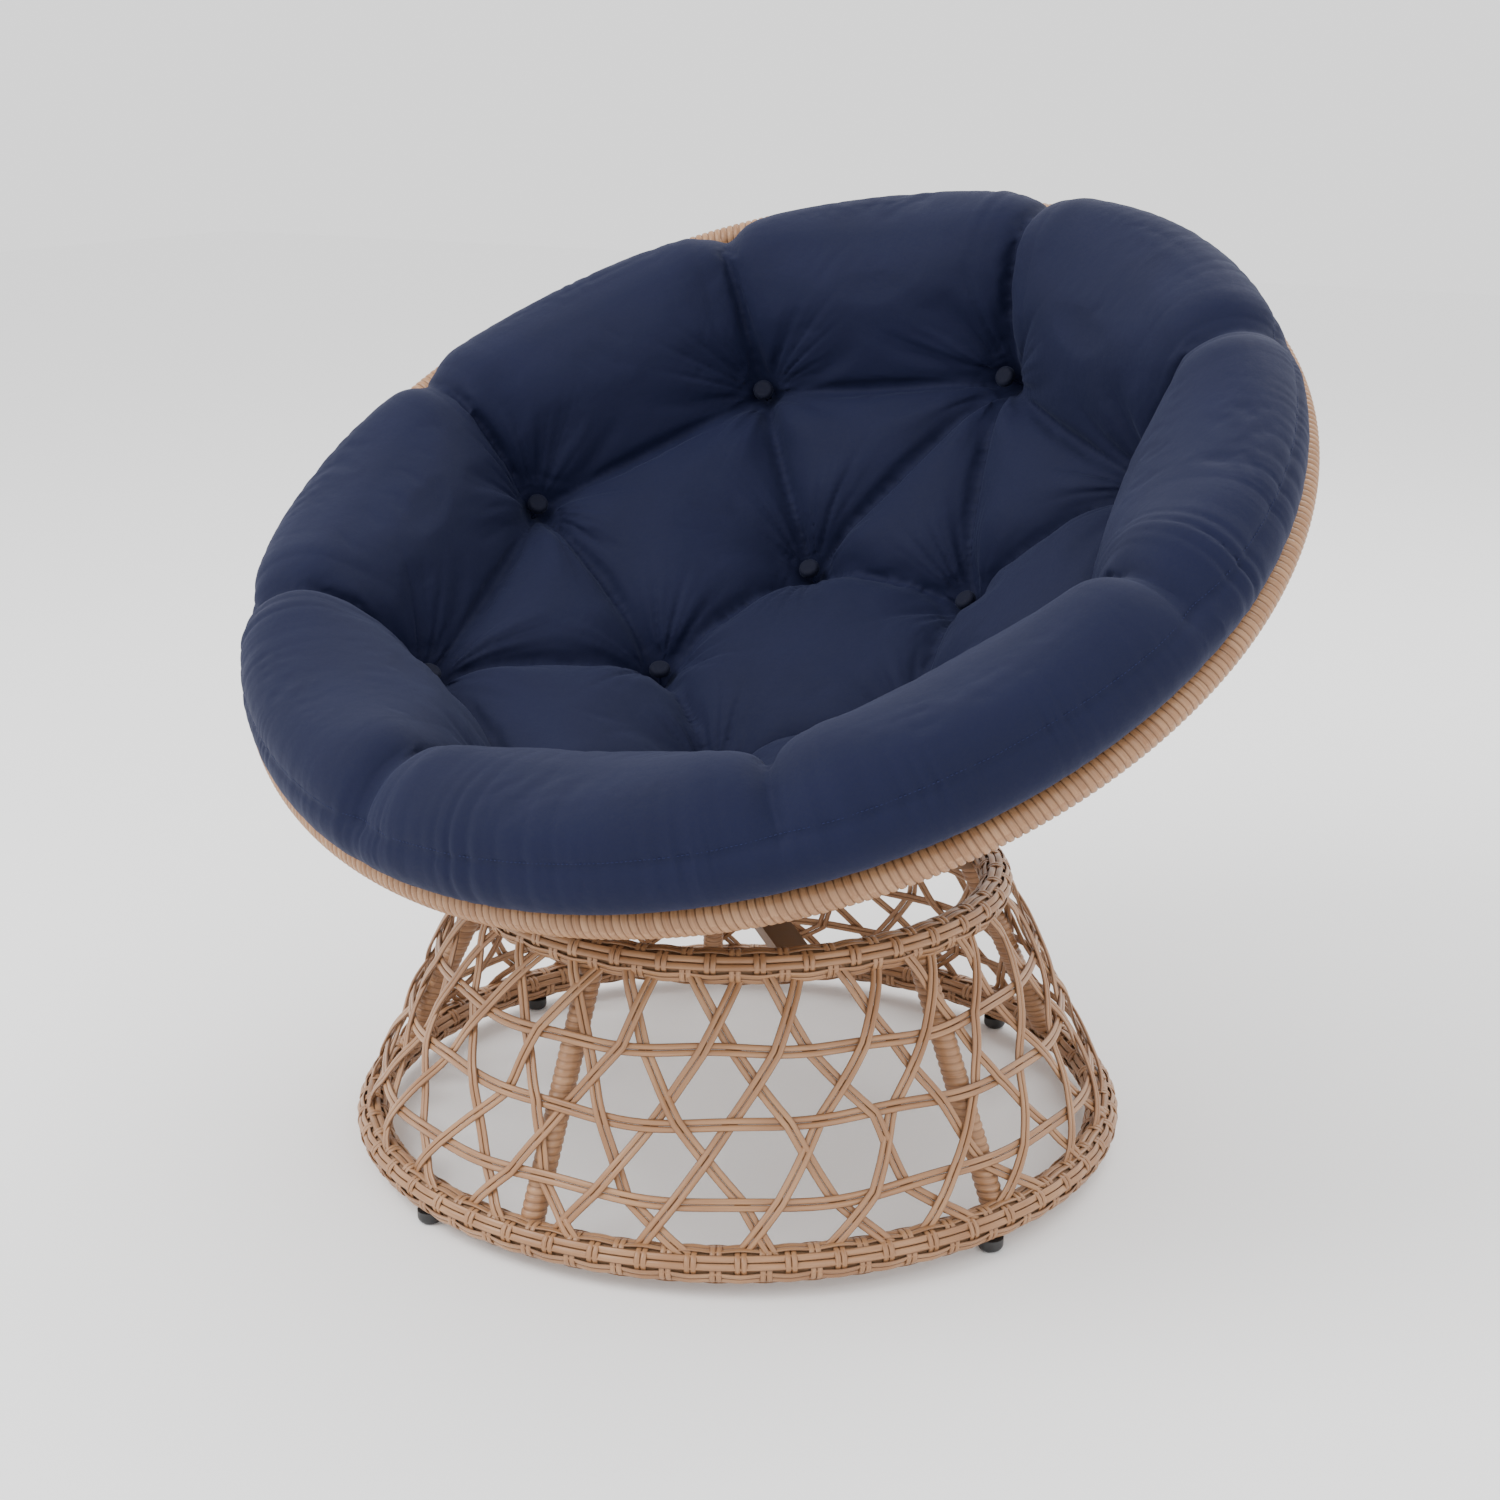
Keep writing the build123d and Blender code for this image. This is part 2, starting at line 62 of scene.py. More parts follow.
sky = bpy.data.worlds.new("sky")
sky.use_nodes = True
sky.node_tree.nodes["Background"].inputs["Color"].default_value = (1.0, 1.0, 1.0, 1)
sky.node_tree.nodes["Background"].inputs["Strength"].default_value = 1.5
bpy.context.scene.world = sky

lamps = {
    "key": ((-1.7, -2.3, 3.2), 2.2, 120.0),
    "fill": ((2.9, -1.8, 2.0), 2.6, 30.0),
    "back": ((0.6, 2.6, 3.2), 2.4, 60.0),
}
for lamp_name, (place, side, watts) in lamps.items():
    lamp_data = bpy.data.lights.new(lamp_name, "AREA")
    lamp_data.size = side
    lamp_data.energy = watts
    lamp = bpy.data.objects.new(lamp_name, lamp_data)
    lamp.location = place
    lamp.rotation_euler = (Vector((0, 0, 0.45)) - lamp.location).to_track_quat("-Z", "Y").to_euler()
    bpy.context.collection.objects.link(lamp)

camera_data = bpy.data.cameras.new("camera")
camera_data.lens = 57.55
camera_data.sensor_width = 36.0
camera = bpy.data.objects.new("camera", camera_data)
camera.location = (1.183, -1.944, 1.062)
camera_aim = Vector((0.0107, 0.0064, 0.3935)) - camera.location
camera.rotation_euler = camera_aim.to_track_quat("-Z", "Y").to_euler()
bpy.context.collection.objects.link(camera)
bpy.context.scene.camera = camera


# --- Steel rings and leg tubes ------------------------------------------------
# Welded round steel tube: a wide ring on the floor, a narrow one under the bowl
# and five legs. All of it is powder coated tan and hidden by the resin.


class Wires:
    """A socket inside a node tree. Arithmetic on it adds Math nodes to the tree."""

    def __init__(self, tree, socket):
        self.tree = tree
        self.socket = socket

    def math(self, operation, *others):
        node = self.tree.nodes.new("ShaderNodeMath")
        node.operation = operation
        for socket, value in zip(node.inputs, (self, *others)):
            plug(self.tree, socket, value)
        return Wires(self.tree, node.outputs[0])

    def other(self, name):
        """Another output of the node this one comes from."""
        return Wires(self.tree, self.socket.node.outputs[name])

    def __add__(self, value):
        return self.math("ADD", value)

    def __radd__(self, value):
        return self.math("ADD", value)

    def __sub__(self, value):
        return self.math("SUBTRACT", value)

    def __rsub__(self, value):
        return (self * -1.0).math("ADD", value)

    def __mul__(self, value):
        return self.math("MULTIPLY", value)

    def __rmul__(self, value):
        return self.math("MULTIPLY", value)

    def __truediv__(self, value):
        return self.math("DIVIDE", value)


def plug(tree, socket, value):
    """Wires a value into a socket, or sets it there."""
    if isinstance(value, Wires):
        tree.links.new(value.socket, socket)
    else:
        socket.default_value = value


def step(tree, kind, **given):
    """Adds a node. A word with a capital is one of its sockets, any other a setting."""
    node = tree.nodes.new(kind)
    for word, value in given.items():
        if word[0].islower():
            setattr(node, word, value)
    for word, value in given.items():
        if not word[0].islower():
            title = word.replace("_", " ")
            plug(tree, next(s for s in node.inputs if s.name == title and s.enabled), value)
    first = next(s for s in node.outputs if s.enabled)
    return Wires(tree, first)


def effect(name, inputs, outputs):
    """An empty shader group. Returns its tree, its inputs as wires and its output sockets."""
    kinds = {float: "NodeSocketFloat", tuple: "NodeSocketColor", None: "NodeSocketVector"}
    tree = bpy.data.node_groups.new(name, "ShaderNodeTree")
    for title, value in inputs.items():
        kind = kinds[None if value is None else type(value)]
        socket = tree.interface.new_socket(title, in_out="INPUT", socket_type=kind)
        if value is not None:
            socket.default_value = value
    for title, kind in outputs.items():
        tree.interface.new_socket(title, in_out="OUTPUT", socket_type=kinds[kind])
    start = tree.nodes.new("NodeGroupInput")
    end = tree.nodes.new("NodeGroupOutput")
    wires = {title: Wires(tree, start.outputs[title]) for title in inputs}
    return tree, wires, end.inputs


wear, given, result = effect(
    "Worn Metal",
    {"Place": None, "Colour": (0.3, 0.3, 0.3, 1.0), "Dirt": (0.1, 0.1, 0.1, 1.0),
     "Mottle Scale": 60.0, "Roughness": 0.4},
    {"Colour": tuple, "Roughness": float, "Height": float},
)
mottle = step(wear, "ShaderNodeTexNoise", Vector=given["Place"], Scale=given["Mottle Scale"], Detail=5.0)
pits = step(wear, "ShaderNodeTexNoise", Vector=given["Place"], Scale=given["Mottle Scale"] * 15.0,
            Detail=2.0)
shade = step(wear, "ShaderNodeMix", data_type="RGBA",
             Factor=mottle, A=given["Dirt"], B=given["Colour"])
plug(wear, result["Colour"], shade)
plug(wear, result["Roughness"], given["Roughness"] + (mottle - 0.5) * 0.35)
plug(wear, result["Height"], pits)


def finish(name, group, attribute, bump_strength, bump_distance, **values):
    """A material whose colour, roughness and bump come from an effect. Returns its shader too."""
    material = bpy.data.materials.new(name)
    material.use_nodes = True
    tree = material.node_tree
    shader = tree.nodes["Principled BSDF"]
    if attribute:
        place = step(tree, "ShaderNodeAttribute", attribute_name=attribute).other("Vector")
    else:
        place = step(tree, "ShaderNodeTexCoord").other("Object")
    look = step(tree, "ShaderNodeGroup", node_tree=group, Place=place, **values)
    bump = step(tree, "ShaderNodeBump", Strength=bump_strength, Distance=bump_distance,
                Height=look.other("Height"))
    plug(tree, shader.inputs["Base Color"], look)
    plug(tree, shader.inputs["Roughness"], look.other("Roughness"))
    plug(tree, shader.inputs["Normal"], bump)
    return material, shader


def metal(name, colour, dirt, roughness, metallic, mottle_scale=60.0):
    """Painted or plated steel with faint mottling, fine pitting and rubbed patches."""
    material, shader = finish(name, wear, None, 0.25, 0.0004, Colour=(*colour, 1), Dirt=(*dirt, 1),
                              Mottle_Scale=mottle_scale, Roughness=roughness)
    shader.inputs["Metallic"].default_value = metallic
    return material


def dress(material, *nodes):
    """Gives CAD nodes this material in every slot."""
    for node in nodes:
        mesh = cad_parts[node].data
        mesh.materials.clear()
        mesh.materials.append(material)


tan_steel = metal("tan_steel", (0.30, 0.17, 0.09), (0.20, 0.11, 0.06), 0.5, 0.0)
leg_names = [f"leg_{number}" for number in range(1, 6)]
dress(tan_steel, "bottom_ring_tube", "top_ring_tube", *[f"{leg}_tube" for leg in leg_names])


# --- Ring weave ---------------------------------------------------------------
# Flat-backed resin strands woven round both rings: six rows of twin strands run
# along the ring, and twin strands looped round it pass over and under the rows.

streaks, given, result = effect(
    "Resin Streaks",
    {"Place": None, "Pale": (0.50, 0.30, 0.17, 1.0), "Deep": (0.30, 0.15, 0.07, 1.0),
     "Painted Groove Shade": (0.10, 0.045, 0.02, 1.0), "Edge": 0.75},
    {"Colour": tuple, "Roughness": float, "Height": float},
)
lay = step(streaks, "ShaderNodeSeparateXYZ", Vector=given["Place"])
fine_lay = step(streaks, "ShaderNodeCombineXYZ", X=lay * 9.0, Y=lay.other("Y") * 2.6,
                Z=lay.other("Z") * 5.3)
fine = step(streaks, "ShaderNodeTexNoise", Vector=fine_lay, Scale=2.0, Detail=4.0, Roughness=0.6)
patch_lay = step(streaks, "ShaderNodeCombineXYZ", X=lay * 16.0, Y=lay.other("Y") * 0.5,
                 Z=lay.other("Z") * 3.1)
patch = step(streaks, "ShaderNodeTexNoise", Vector=patch_lay, Scale=1.0, Detail=2.0)
blotch = step(streaks, "ShaderNodeMapRange", Value=patch, From_Min=0.36, From_Max=0.68)
streak = step(streaks, "ShaderNodeMapRange", Value=fine, From_Min=0.30, From_Max=0.72)
toned = step(streaks, "ShaderNodeMix", data_type="RGBA",
             Factor=streak * 0.55 + blotch * 0.45, A=given["Deep"], B=given["Pale"])
# Painted shade: towards a strand's edges, where it meets its neighbours in a groove, its colour darkens to
# the groove shade.
edge = step(streaks, "ShaderNodeMapRange", Value=lay.other("Y"), From_Min=given["Edge"], From_Max=1.0)
groove_shaded = step(streaks, "ShaderNodeMix", data_type="RGBA",
             Factor=edge * 0.75, A=toned, B=given["Painted Groove Shade"])
plug(streaks, result["Colour"], groove_shaded)
plug(streaks, result["Roughness"], 0.46 - streak * 0.12 + edge * 0.2)
plug(streaks, result["Height"], fine)


def resin(name, pale, deep, groove_shade_start):
    """Extruded resin with lengthwise streaks, and painted shade that darkens each strand towards its edges.
    It reads the strand's own lay attribute.
    """
    return finish(name, streaks, "lay", 0.35, 0.0003, Pale=(*pale, 1), Deep=(*deep, 1), Edge=groove_shade_start)[0]


pattern_kinds = {int: "NodeSocketInt", float: "NodeSocketFloat"}


def pattern(name, sizes):
    """An empty Geometry Nodes tree. Returns it, what it is given and its sizes as wires."""
    tree = bpy.data.node_groups.new(name, "GeometryNodeTree")
    tree.interface.new_socket("Path", in_out="INPUT", socket_type="NodeSocketGeometry")
    for title, value in sizes.items():
        socket = tree.interface.new_socket(title, in_out="INPUT", socket_type=pattern_kinds[type(value)])
        socket.default_value = value
    tree.interface.new_socket("Made", in_out="OUTPUT", socket_type="NodeSocketGeometry")
    start = tree.nodes.new("NodeGroupInput")
    return tree, Wires(tree, start.outputs["Path"]), {t: Wires(tree, start.outputs[t]) for t in sizes}


def mark(tree, geometry, name, value, kind="FLOAT"):
    """Stores a value on the geometry's points under a name."""
    return step(tree, "GeometryNodeStoreNamedAttribute", data_type=kind, domain="POINT",
                Geometry=geometry, Name=name, Value=value)


def recall(tree, name, kind="FLOAT"):
    """Reads a stored value back."""
    return step(tree, "GeometryNodeInputNamedAttribute", data_type=kind, Name=name)


def twin_profile(tree, width, thickness):
    """Two flat ovals side by side: the outline of a pair of strands."""
    ovals = []
    for side in (-0.5, 0.5):
        round_outline = step(tree, "GeometryNodeCurvePrimitiveCircle", Resolution=8, Radius=0.5)
        size = step(tree, "ShaderNodeCombineXYZ", X=thickness, Y=width * 0.97, Z=1.0)
        shift = step(tree, "ShaderNodeCombineXYZ", Y=width * side)
        oval = step(tree, "GeometryNodeTransform", Geometry=round_outline, Scale=size, Translation=shift)
        position = step(tree, "GeometryNodeInputPosition")
        across = step(tree, "ShaderNodeSeparateXYZ", Vector=position).other("Y")
        # Across is 0 in a strand's middle and 1 at its edges; the resin paints groove shade by it.
        centred = (across - width * side).math("ABSOLUTE") / (width * 0.485)
        ovals.append(mark(tree, oval, "across", centred))
    joined = tree.nodes.new("GeometryNodeJoinGeometry")
    for oval in ovals:
        tree.links.new(oval.socket, joined.inputs[0])
    return Wires(tree, joined.outputs[0])


def strands(tree, runs, place, facing, along, number, profile):
    """Turns curves into strands that lie at a place, flat side facing out, and marks their lay."""
    laid = step(tree, "GeometryNodeSetPosition", Geometry=runs, Position=place)
    marked = mark(tree, mark(tree, laid, "along", along), "number", number)
    turned = step(tree, "GeometryNodeSetCurveNormal", mode="FREE", Curve=marked, Normal=facing)
    solid = step(tree, "GeometryNodeCurveToMesh", Curve=turned, Profile_Curve=profile, Fill_Caps=True)
    lay_of_strand = step(tree, "ShaderNodeCombineXYZ", X=recall(tree, "along"), Y=recall(tree, "across"),
                         Z=recall(tree, "number"))
    return mark(tree, solid, "lay", lay_of_strand, "FLOAT_VECTOR")


def finish_pattern(tree, parts, material):
    """Joins the parts, smooths them, makes instances real and gives them their material."""
    joined = tree.nodes.new("GeometryNodeJoinGeometry")
    for part in parts:
        tree.links.new(part.socket, joined.inputs[0])
    smooth = step(tree, "GeometryNodeSetShadeSmooth", Geometry=Wires(tree, joined.outputs[0]))
    real = step(tree, "GeometryNodeRealizeInstances", Geometry=smooth)
    finished = step(tree, "GeometryNodeSetMaterial", Geometry=real, Material=material)
    end = tree.nodes.new("NodeGroupOutput")
    plug(tree, end.inputs["Made"], finished)


def work(tree, name, sizes, path=((), ())):
    """Runs a pattern along a path of points and edges and keeps the result as a plain mesh."""
    guide = bpy.data.meshes.new(name + "_guide")
    guide.from_pydata(path[0], path[1], [])
    carrier = bpy.data.objects.new(name + "_guide", guide)
    bpy.context.collection.objects.link(carrier)
    modifier = carrier.modifiers.new("pattern", "NODES")
    modifier.node_group = tree
    for socket in tree.interface.items_tree:
        if socket.in_out == "INPUT" and socket.name in sizes:
            modifier[socket.identifier] = sizes[socket.name]
    seen = carrier.evaluated_get(bpy.context.evaluated_depsgraph_get())
    mesh = bpy.data.meshes.new_from_object(seen)
    bpy.data.objects.remove(carrier)
    mesh.name = name
    piece = bpy.data.objects.new(name, mesh)
    bpy.context.collection.objects.link(piece)
    face_outwards(mesh)
    return piece


def read_points(mesh, what="co"):
    """Where the mesh's points are, or another of their vectors, as an array."""
    values = np.empty(len(mesh.vertices) * 3)
    mesh.vertices.foreach_get(what, values)
    return values.reshape(-1, 3)


def face_outwards(mesh):
    """Turns a closed mesh the right way out if its faces point inwards."""
    mesh.calc_loop_triangles()
    corners = read_points(mesh)
    triangles = np.empty(len(mesh.loop_triangles) * 3, dtype=np.int32)
    mesh.loop_triangles.foreach_get("vertices", triangles)
    a, b, c = (corners[triangles.reshape(-1, 3)[:, k]] for k in range(3))
    if np.einsum("ij,ij->i", a, np.cross(b, c)).sum() < 0:
        mesh.flip_normals()


honey_resin = resin("honey_resin", (0.42, 0.235, 0.120), (0.235, 0.105, 0.042), 0.70)

ring_weave, _, size = pattern(
    "Ring Weave",
    {"Ring Radius": 0.371, "Ring Height": 0.029, "Wraps": 108.0, "Rows": 6, "Weave Radius": 0.0146,
     "Row Rise": 0.0009, "Wrap Rise": 0.0013, "Strand Width": 0.0069, "Strand Thickness": 0.0022},
)


def round_axis(tree, reach, turn, height):
    """The point at a reach from the upright axis, an angle from the front and a height."""
    return step(tree, "ShaderNodeCombineXYZ", X=reach * turn.math("SINE"),
                Y=reach * turn.math("COSINE") * -1.0, Z=height)


def ring_place(tree, turn, around, distance):
    """The point and the outward direction at an angle round the ring and round its tube."""
    reach = size["Ring Radius"] + distance * around.math("COSINE")
    point = round_axis(tree, reach, turn, size["Ring Height"] + distance * around.math("SINE"))
    return point, round_axis(tree, around.math("COSINE"), turn, around.math("SINE"))


row_loop = step(ring_weave, "GeometryNodeCurvePrimitiveCircle", Resolution=432, Radius=1.0)
row_copies = step(ring_weave, "GeometryNodeDuplicateElements", domain="SPLINE", Geometry=row_loop,
                  Amount=size["Rows"])
row = row_copies.other("Duplicate Index")
turned = step(ring_weave, "GeometryNodeSplineParameter")
row_rise = ((turned * size["Wraps"] - 0.5 + row) * math.pi).math("COSINE") * size["Row Rise"]
row_around = (row + 0.5) * (2 * math.pi) / size["Rows"]
row_point, row_facing = ring_place(ring_weave, turned * (2 * math.pi), row_around,
                                   size["Weave Radius"] + row_rise)
row_strands = strands(ring_weave, row_copies, row_point, row_facing,
                      turned * size["Ring Radius"] * (2 * math.pi), row + 0.0,
                      twin_profile(ring_weave, size["Strand Width"], size["Strand Thickness"]))

wrap_length = 0.092
wrap_loop = step(ring_weave, "GeometryNodeCurvePrimitiveCircle", Resolution=24, Radius=1.0)
wrap_copies = step(ring_weave, "GeometryNodeDuplicateElements", domain="SPLINE", Geometry=wrap_loop,
                   Amount=size["Wraps"])
wrap = wrap_copies.other("Duplicate Index")
wrap_around = turned * (2 * math.pi)
wrap_beat = ((wrap_around - math.pi / 6) * size["Rows"] * 0.5 + wrap * math.pi).math("COSINE")
wrap_point, wrap_facing = ring_place(ring_weave, (wrap + 0.5) * (2 * math.pi) / size["Wraps"], wrap_around,
                                     size["Weave Radius"] - wrap_beat * size["Wrap Rise"])
wrap_strands = strands(ring_weave, wrap_copies, wrap_point, wrap_facing, turned * wrap_length, wrap + 20.0,
                       twin_profile(ring_weave, size["Strand Width"] * 0.84, size["Strand Thickness"]))
finish_pattern(ring_weave, [row_strands, wrap_strands], honey_resin)

for level, wrap_count in (("bottom", 108.0), ("top", 76.0)):
    tube_low, tube_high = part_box(f"{level}_ring_tube")
    woven_ring = work(ring_weave, f"{level}_ring_strands", {
        "Ring Radius": tube_high.x - (tube_high.z - tube_low.z) / 2,
        "Ring Height": (tube_high.z + tube_low.z) / 2,
        "Wraps": wrap_count,
    })
    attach(woven_ring, "stand")
    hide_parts(f"{level}_ring_weave")


# --- Leg wraps ----------------------------------------------------------------
# Each leg is a straight tube wound from ring to ring with one half-round resin
# strand, turn against turn, its ends tucked into the ring weave.

winding, path, size = pattern(
    "Resin Winding",
    {"Turns": 36, "Steps": 6, "Sides": 16, "Core Radius": 0.0098, "Ridge": 0.0021, "Lean": 0.0036,
     "Reach": 0.092},
)
rope = step(winding, "GeometryNodeMeshToCurve", Mesh=path)
divided = step(winding, "GeometryNodeResampleCurve", mode="COUNT", Curve=rope,
               Count=size["Turns"] * size["Steps"])
travelled = step(winding, "GeometryNodeSplineParameter")
heading = mark(winding, mark(winding, divided, "travelled", travelled), "heading",
               step(winding, "GeometryNodeInputTangent"), "FLOAT_VECTOR")
outline = step(winding, "GeometryNodeCurvePrimitiveCircle", Resolution=size["Sides"],
               Radius=size["Core Radius"])
rounded = mark(winding, outline, "around", travelled)
core = step(winding, "GeometryNodeCurveToMesh", Curve=heading, Profile_Curve=rounded, Fill_Caps=True)
turn_count = recall(winding, "travelled") * size["Turns"]
around_strand = recall(winding, "around")
valley = (turn_count.math("FRACT") * 2.0 - 1.0).math("ABSOLUTE")
crown = (1.0 - valley * valley).math("SQRT") * size["Ridge"]
lean = (around_strand * (2 * math.pi)).math("SINE") * size["Lean"]
onward = recall(winding, "heading", "FLOAT_VECTOR")
outward = step(winding, "GeometryNodeInputNormal")
raised = step(winding, "ShaderNodeVectorMath", operation="SCALE", Vector=outward, Scale=crown)
leaned = step(winding, "ShaderNodeVectorMath", operation="SCALE", Vector=onward, Scale=lean)
moved = step(winding, "ShaderNodeVectorMath", operation="ADD", Vector=raised)
plug(winding, moved.socket.node.inputs[1], leaned)
wound = step(winding, "GeometryNodeSetPosition", Geometry=core, Offset=moved)
# The valley, 1 in the groove between turns, sets where the resin's painted groove shade falls.
wound_lay = step(winding, "ShaderNodeCombineXYZ", X=around_strand * size["Reach"], Y=valley,
                 Z=turn_count.math("FLOOR"))
wound = mark(winding, wound, "lay", wound_lay, "FLOAT_VECTOR")
finish_pattern(winding, [wound], honey_resin)

bottom_low, bottom_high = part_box("bottom_ring_tube")
top_low, top_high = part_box("top_ring_tube")
ring_tube_radius = (bottom_high.z - bottom_low.z) / 2
bottom_ring = (bottom_high.x - ring_tube_radius, (bottom_high.z + bottom_low.z) / 2)
top_ring = (top_high.x - ring_tube_radius, (top_high.z + top_low.z) / 2)
wall_run = top_ring[0] - bottom_ring[0]
wall_rise = top_ring[1] - bottom_ring[1]
wall_length = math.hypot(wall_run, wall_rise)
leg_inset = 0.006
leg_wrap_ends = (0.045, 0.955)

for number, leg in enumerate(leg_names):
    turn = math.radians(72 * number)
    ends = []
    for share in leg_wrap_ends:
        reach = bottom_ring[0] + wall_run * share - leg_inset * wall_rise / wall_length
        height = bottom_ring[1] + wall_rise * share + leg_inset * wall_run / wall_length
        ends.append((reach * math.sin(turn), -reach * math.cos(turn), height))
    leg_wrap = work(winding, f"{leg}_winding", {"Turns": 33}, (ends, [(0, 1)]))
    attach(leg_wrap, "stand")
    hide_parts(f"{leg}_wrap")


# --- Lattice of the stand -----------------------------------------------------
# Twin strands slant both ways up the wall of the stand and are tucked into both
# rings. Three level twin hoops run between them, so the crossings hold each other.


def lattice(name, surface, levels, hoop_levels):
    """A pattern of slanted twin strands and level hoops on a surface of turn, place and offset."""
    tree, _, size = pattern(name, {
        "Pairs": 26, "First Turn": 0.0, "Middle Offset": 0.0108, "Swing": 0.0034, "Spread": 0.0018,
        "Jitter": 0.034, "Seed": 3.0, "Strand Width": 0.0060, "Strand Thickness": 0.0034,
        "End Drop": 0.0, "Hoop Wave": 0.010, "Hoop Points": 240,
    })
    last = len(levels) - 1
    rise = step(tree, "GeometryNodeCurvePrimitiveLine", mode="POINTS")
    rise = step(tree, "GeometryNodeResampleCurve", mode="COUNT", Curve=rise, Count=9 * last + 1)
    copies = step(tree, "GeometryNodeDuplicateElements", domain="SPLINE", Geometry=rise,
                  Amount=size["Pairs"] * 2.0)
    copy = copies.other("Duplicate Index")
    side = (copy * 0.5).math("FRACT") * 2.0
    pair = (copy * 0.5).math("FLOOR")
    direction = 1.0 - side * 2.0
    level = step(tree, "GeometryNodeSplineParameter") * float(last)
    place = level * 0.0 + levels[0]
    wander = level * 0.0
    for number in range(last + 1):
        if number < last:
            climbed = step(tree, "ShaderNodeClamp", Value=level - float(number))
            place = place + climbed * (levels[number + 1] - levels[number])
        chance = step(tree, "FunctionNodeRandomValue", data_type="FLOAT", Min=-1.0, Max=1.0,
                      ID=copy * float(last + 1) + float(number), Seed=size["Seed"])
        near = (1.0 - (level - float(number)).math("ABSOLUTE")).math("MAXIMUM", 0.0)
        wander = wander + chance * near
    steps_round = pair + side * 0.5 + direction * level * 0.5
    turn = size["First Turn"] + steps_round * (2 * math.pi) / size["Pairs"] + wander * size["Jitter"]
    beat = (level * math.pi).math("COSINE")
    middle = (level * math.pi).math("SINE")
    offset = size["Middle Offset"] - direction * (beat * size["Swing"] - middle * middle * size["Spread"])
    tucked = (level / float(last) * 2.0 - 1.0).math("ABSOLUTE")
    tucked = step(tree, "ShaderNodeMapRange", interpolation_type="SMOOTHSTEP", Value=tucked,
                  From_Min=0.84, From_Max=1.0)
    point, facing = surface(tree, turn, place, offset - tucked * size["End Drop"])
    outline = twin_profile(tree, size["Strand Width"], size["Strand Thickness"])
    made = [strands(tree, copies, point, facing, level * 0.066, copy + 0.0, outline)]
    for number in hoop_levels:
        circle = step(tree, "GeometryNodeCurvePrimitiveCircle", Resolution=size["Hoop Points"], Radius=1.0)
        round_turn = step(tree, "GeometryNodeSplineParameter") * (2 * math.pi)
        long_wave = (round_turn * 5.0 + 1.7 * number).math("SINE")
        wave = long_wave + (round_turn * 13.0 + 0.6 * number).math("SINE") * 0.6
        point, facing = surface(tree, round_turn, wave * size["Hoop Wave"] + levels[number],
                                size["Middle Offset"] + 0.0)
        strand_number = round_turn * 0.0 + (200.0 + number)
        made.append(strands(tree, circle, point, facing, round_turn * 0.32, strand_number, outline))
    finish_pattern(tree, made, honey_resin)
    return tree


def wall_surface(tree, turn, place, offset):
    """A point on the cone between the rings, and its outward direction."""
    reach = place * wall_run + offset * (wall_rise / wall_length) + bottom_ring[0]
    height = place * wall_rise - offset * (wall_run / wall_length) + bottom_ring[1]
    facing = round_axis(tree, wall_rise / wall_length, turn, -wall_run / wall_length)
    return round_axis(tree, reach, turn, height), facing


stand_levels = [0.02, 0.20, 0.46, 0.70, 0.98]
stand_lattice = lattice("Stand Lattice", wall_surface, stand_levels, (1, 2, 3))
stand_strands = work(stand_lattice, "stand_lattice_strands", {"First Turn": 0.05, "End Drop": 0.004})
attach(stand_strands, "stand")
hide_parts("lattice_hoop_low", "lattice_hoop_middle", "lattice_hoop_high",
            "lattice_strands_left", "lattice_strands_right")


# --- Rim ------------------------------------------------------------------------
# The bowl's rim is a steel ring wound end to end with the same half-round resin
# strand as the legs, a little over 440 turns side by side.

rim_low, rim_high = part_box("rim_tube")
rim_tube_radius = 0.0125
rim_tilt = math.radians(31.0)
rim_radius = rim_high.x - rim_tube_radius
rim_frame = Matrix.Translation((rim_low + rim_high) / 2) @ Matrix.Rotation(rim_tilt, 4, "X")
rim_turns = 448
rim_corners = 288
rim_points = []
for number in range(rim_corners):
    turn = 2 * math.pi * number / rim_corners
    rim_points.append(rim_frame @ Vector((rim_radius * math.cos(turn), rim_radius * math.sin(turn), 0)))
rim_edges = [(number, (number + 1) % rim_corners) for number in range(rim_corners)]
rim_winding = work(winding, "rim_winding", {
    "Turns": rim_turns, "Sides": 20, "Core Radius": 0.0131, "Ridge": 0.0021, "Lean": 0.0030,
}, (rim_points, rim_edges))
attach(rim_winding, "bowl")
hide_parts("rim_wrap")


# --- Glides and swivel ----------------------------------------------------------
# Black moulded glides under the floor ring. Inside the top ring: cross bars, two
# plates with a caged ring of balls between them, the pivot bolt, screws and nuts.

grain, given, result = effect(
    "Moulded Grain",
    {"Place": None, "Colour": (0.02, 0.02, 0.02, 1.0), "Dust": (0.07, 0.068, 0.065, 1.0),
     "Grain Scale": 1400.0},
    {"Colour": tuple, "Roughness": float, "Height": float},
)
texture = step(grain, "ShaderNodeTexNoise", Vector=given["Place"], Scale=given["Grain Scale"], Detail=3.0)
dusty = step(grain, "ShaderNodeTexNoise", Vector=given["Place"], Scale=given["Grain Scale"] * 0.05,
             Detail=4.0)
dust = step(grain, "ShaderNodeMapRange", Value=dusty, From_Min=0.5, From_Max=0.8)
plug(grain, result["Colour"], step(grain, "ShaderNodeMix", data_type="RGBA", Factor=dust * 0.5,
                                   A=given["Colour"], B=given["Dust"]))
plug(grain, result["Roughness"], dust * 0.25 + 0.42)
plug(grain, result["Height"], texture)


def moulded(name, colour):
    """Moulded plastic with a fine spark-eroded grain and a little dust."""
    return finish(name, grain, None, 0.4, 0.0002, Colour=(*colour, 1))[0]


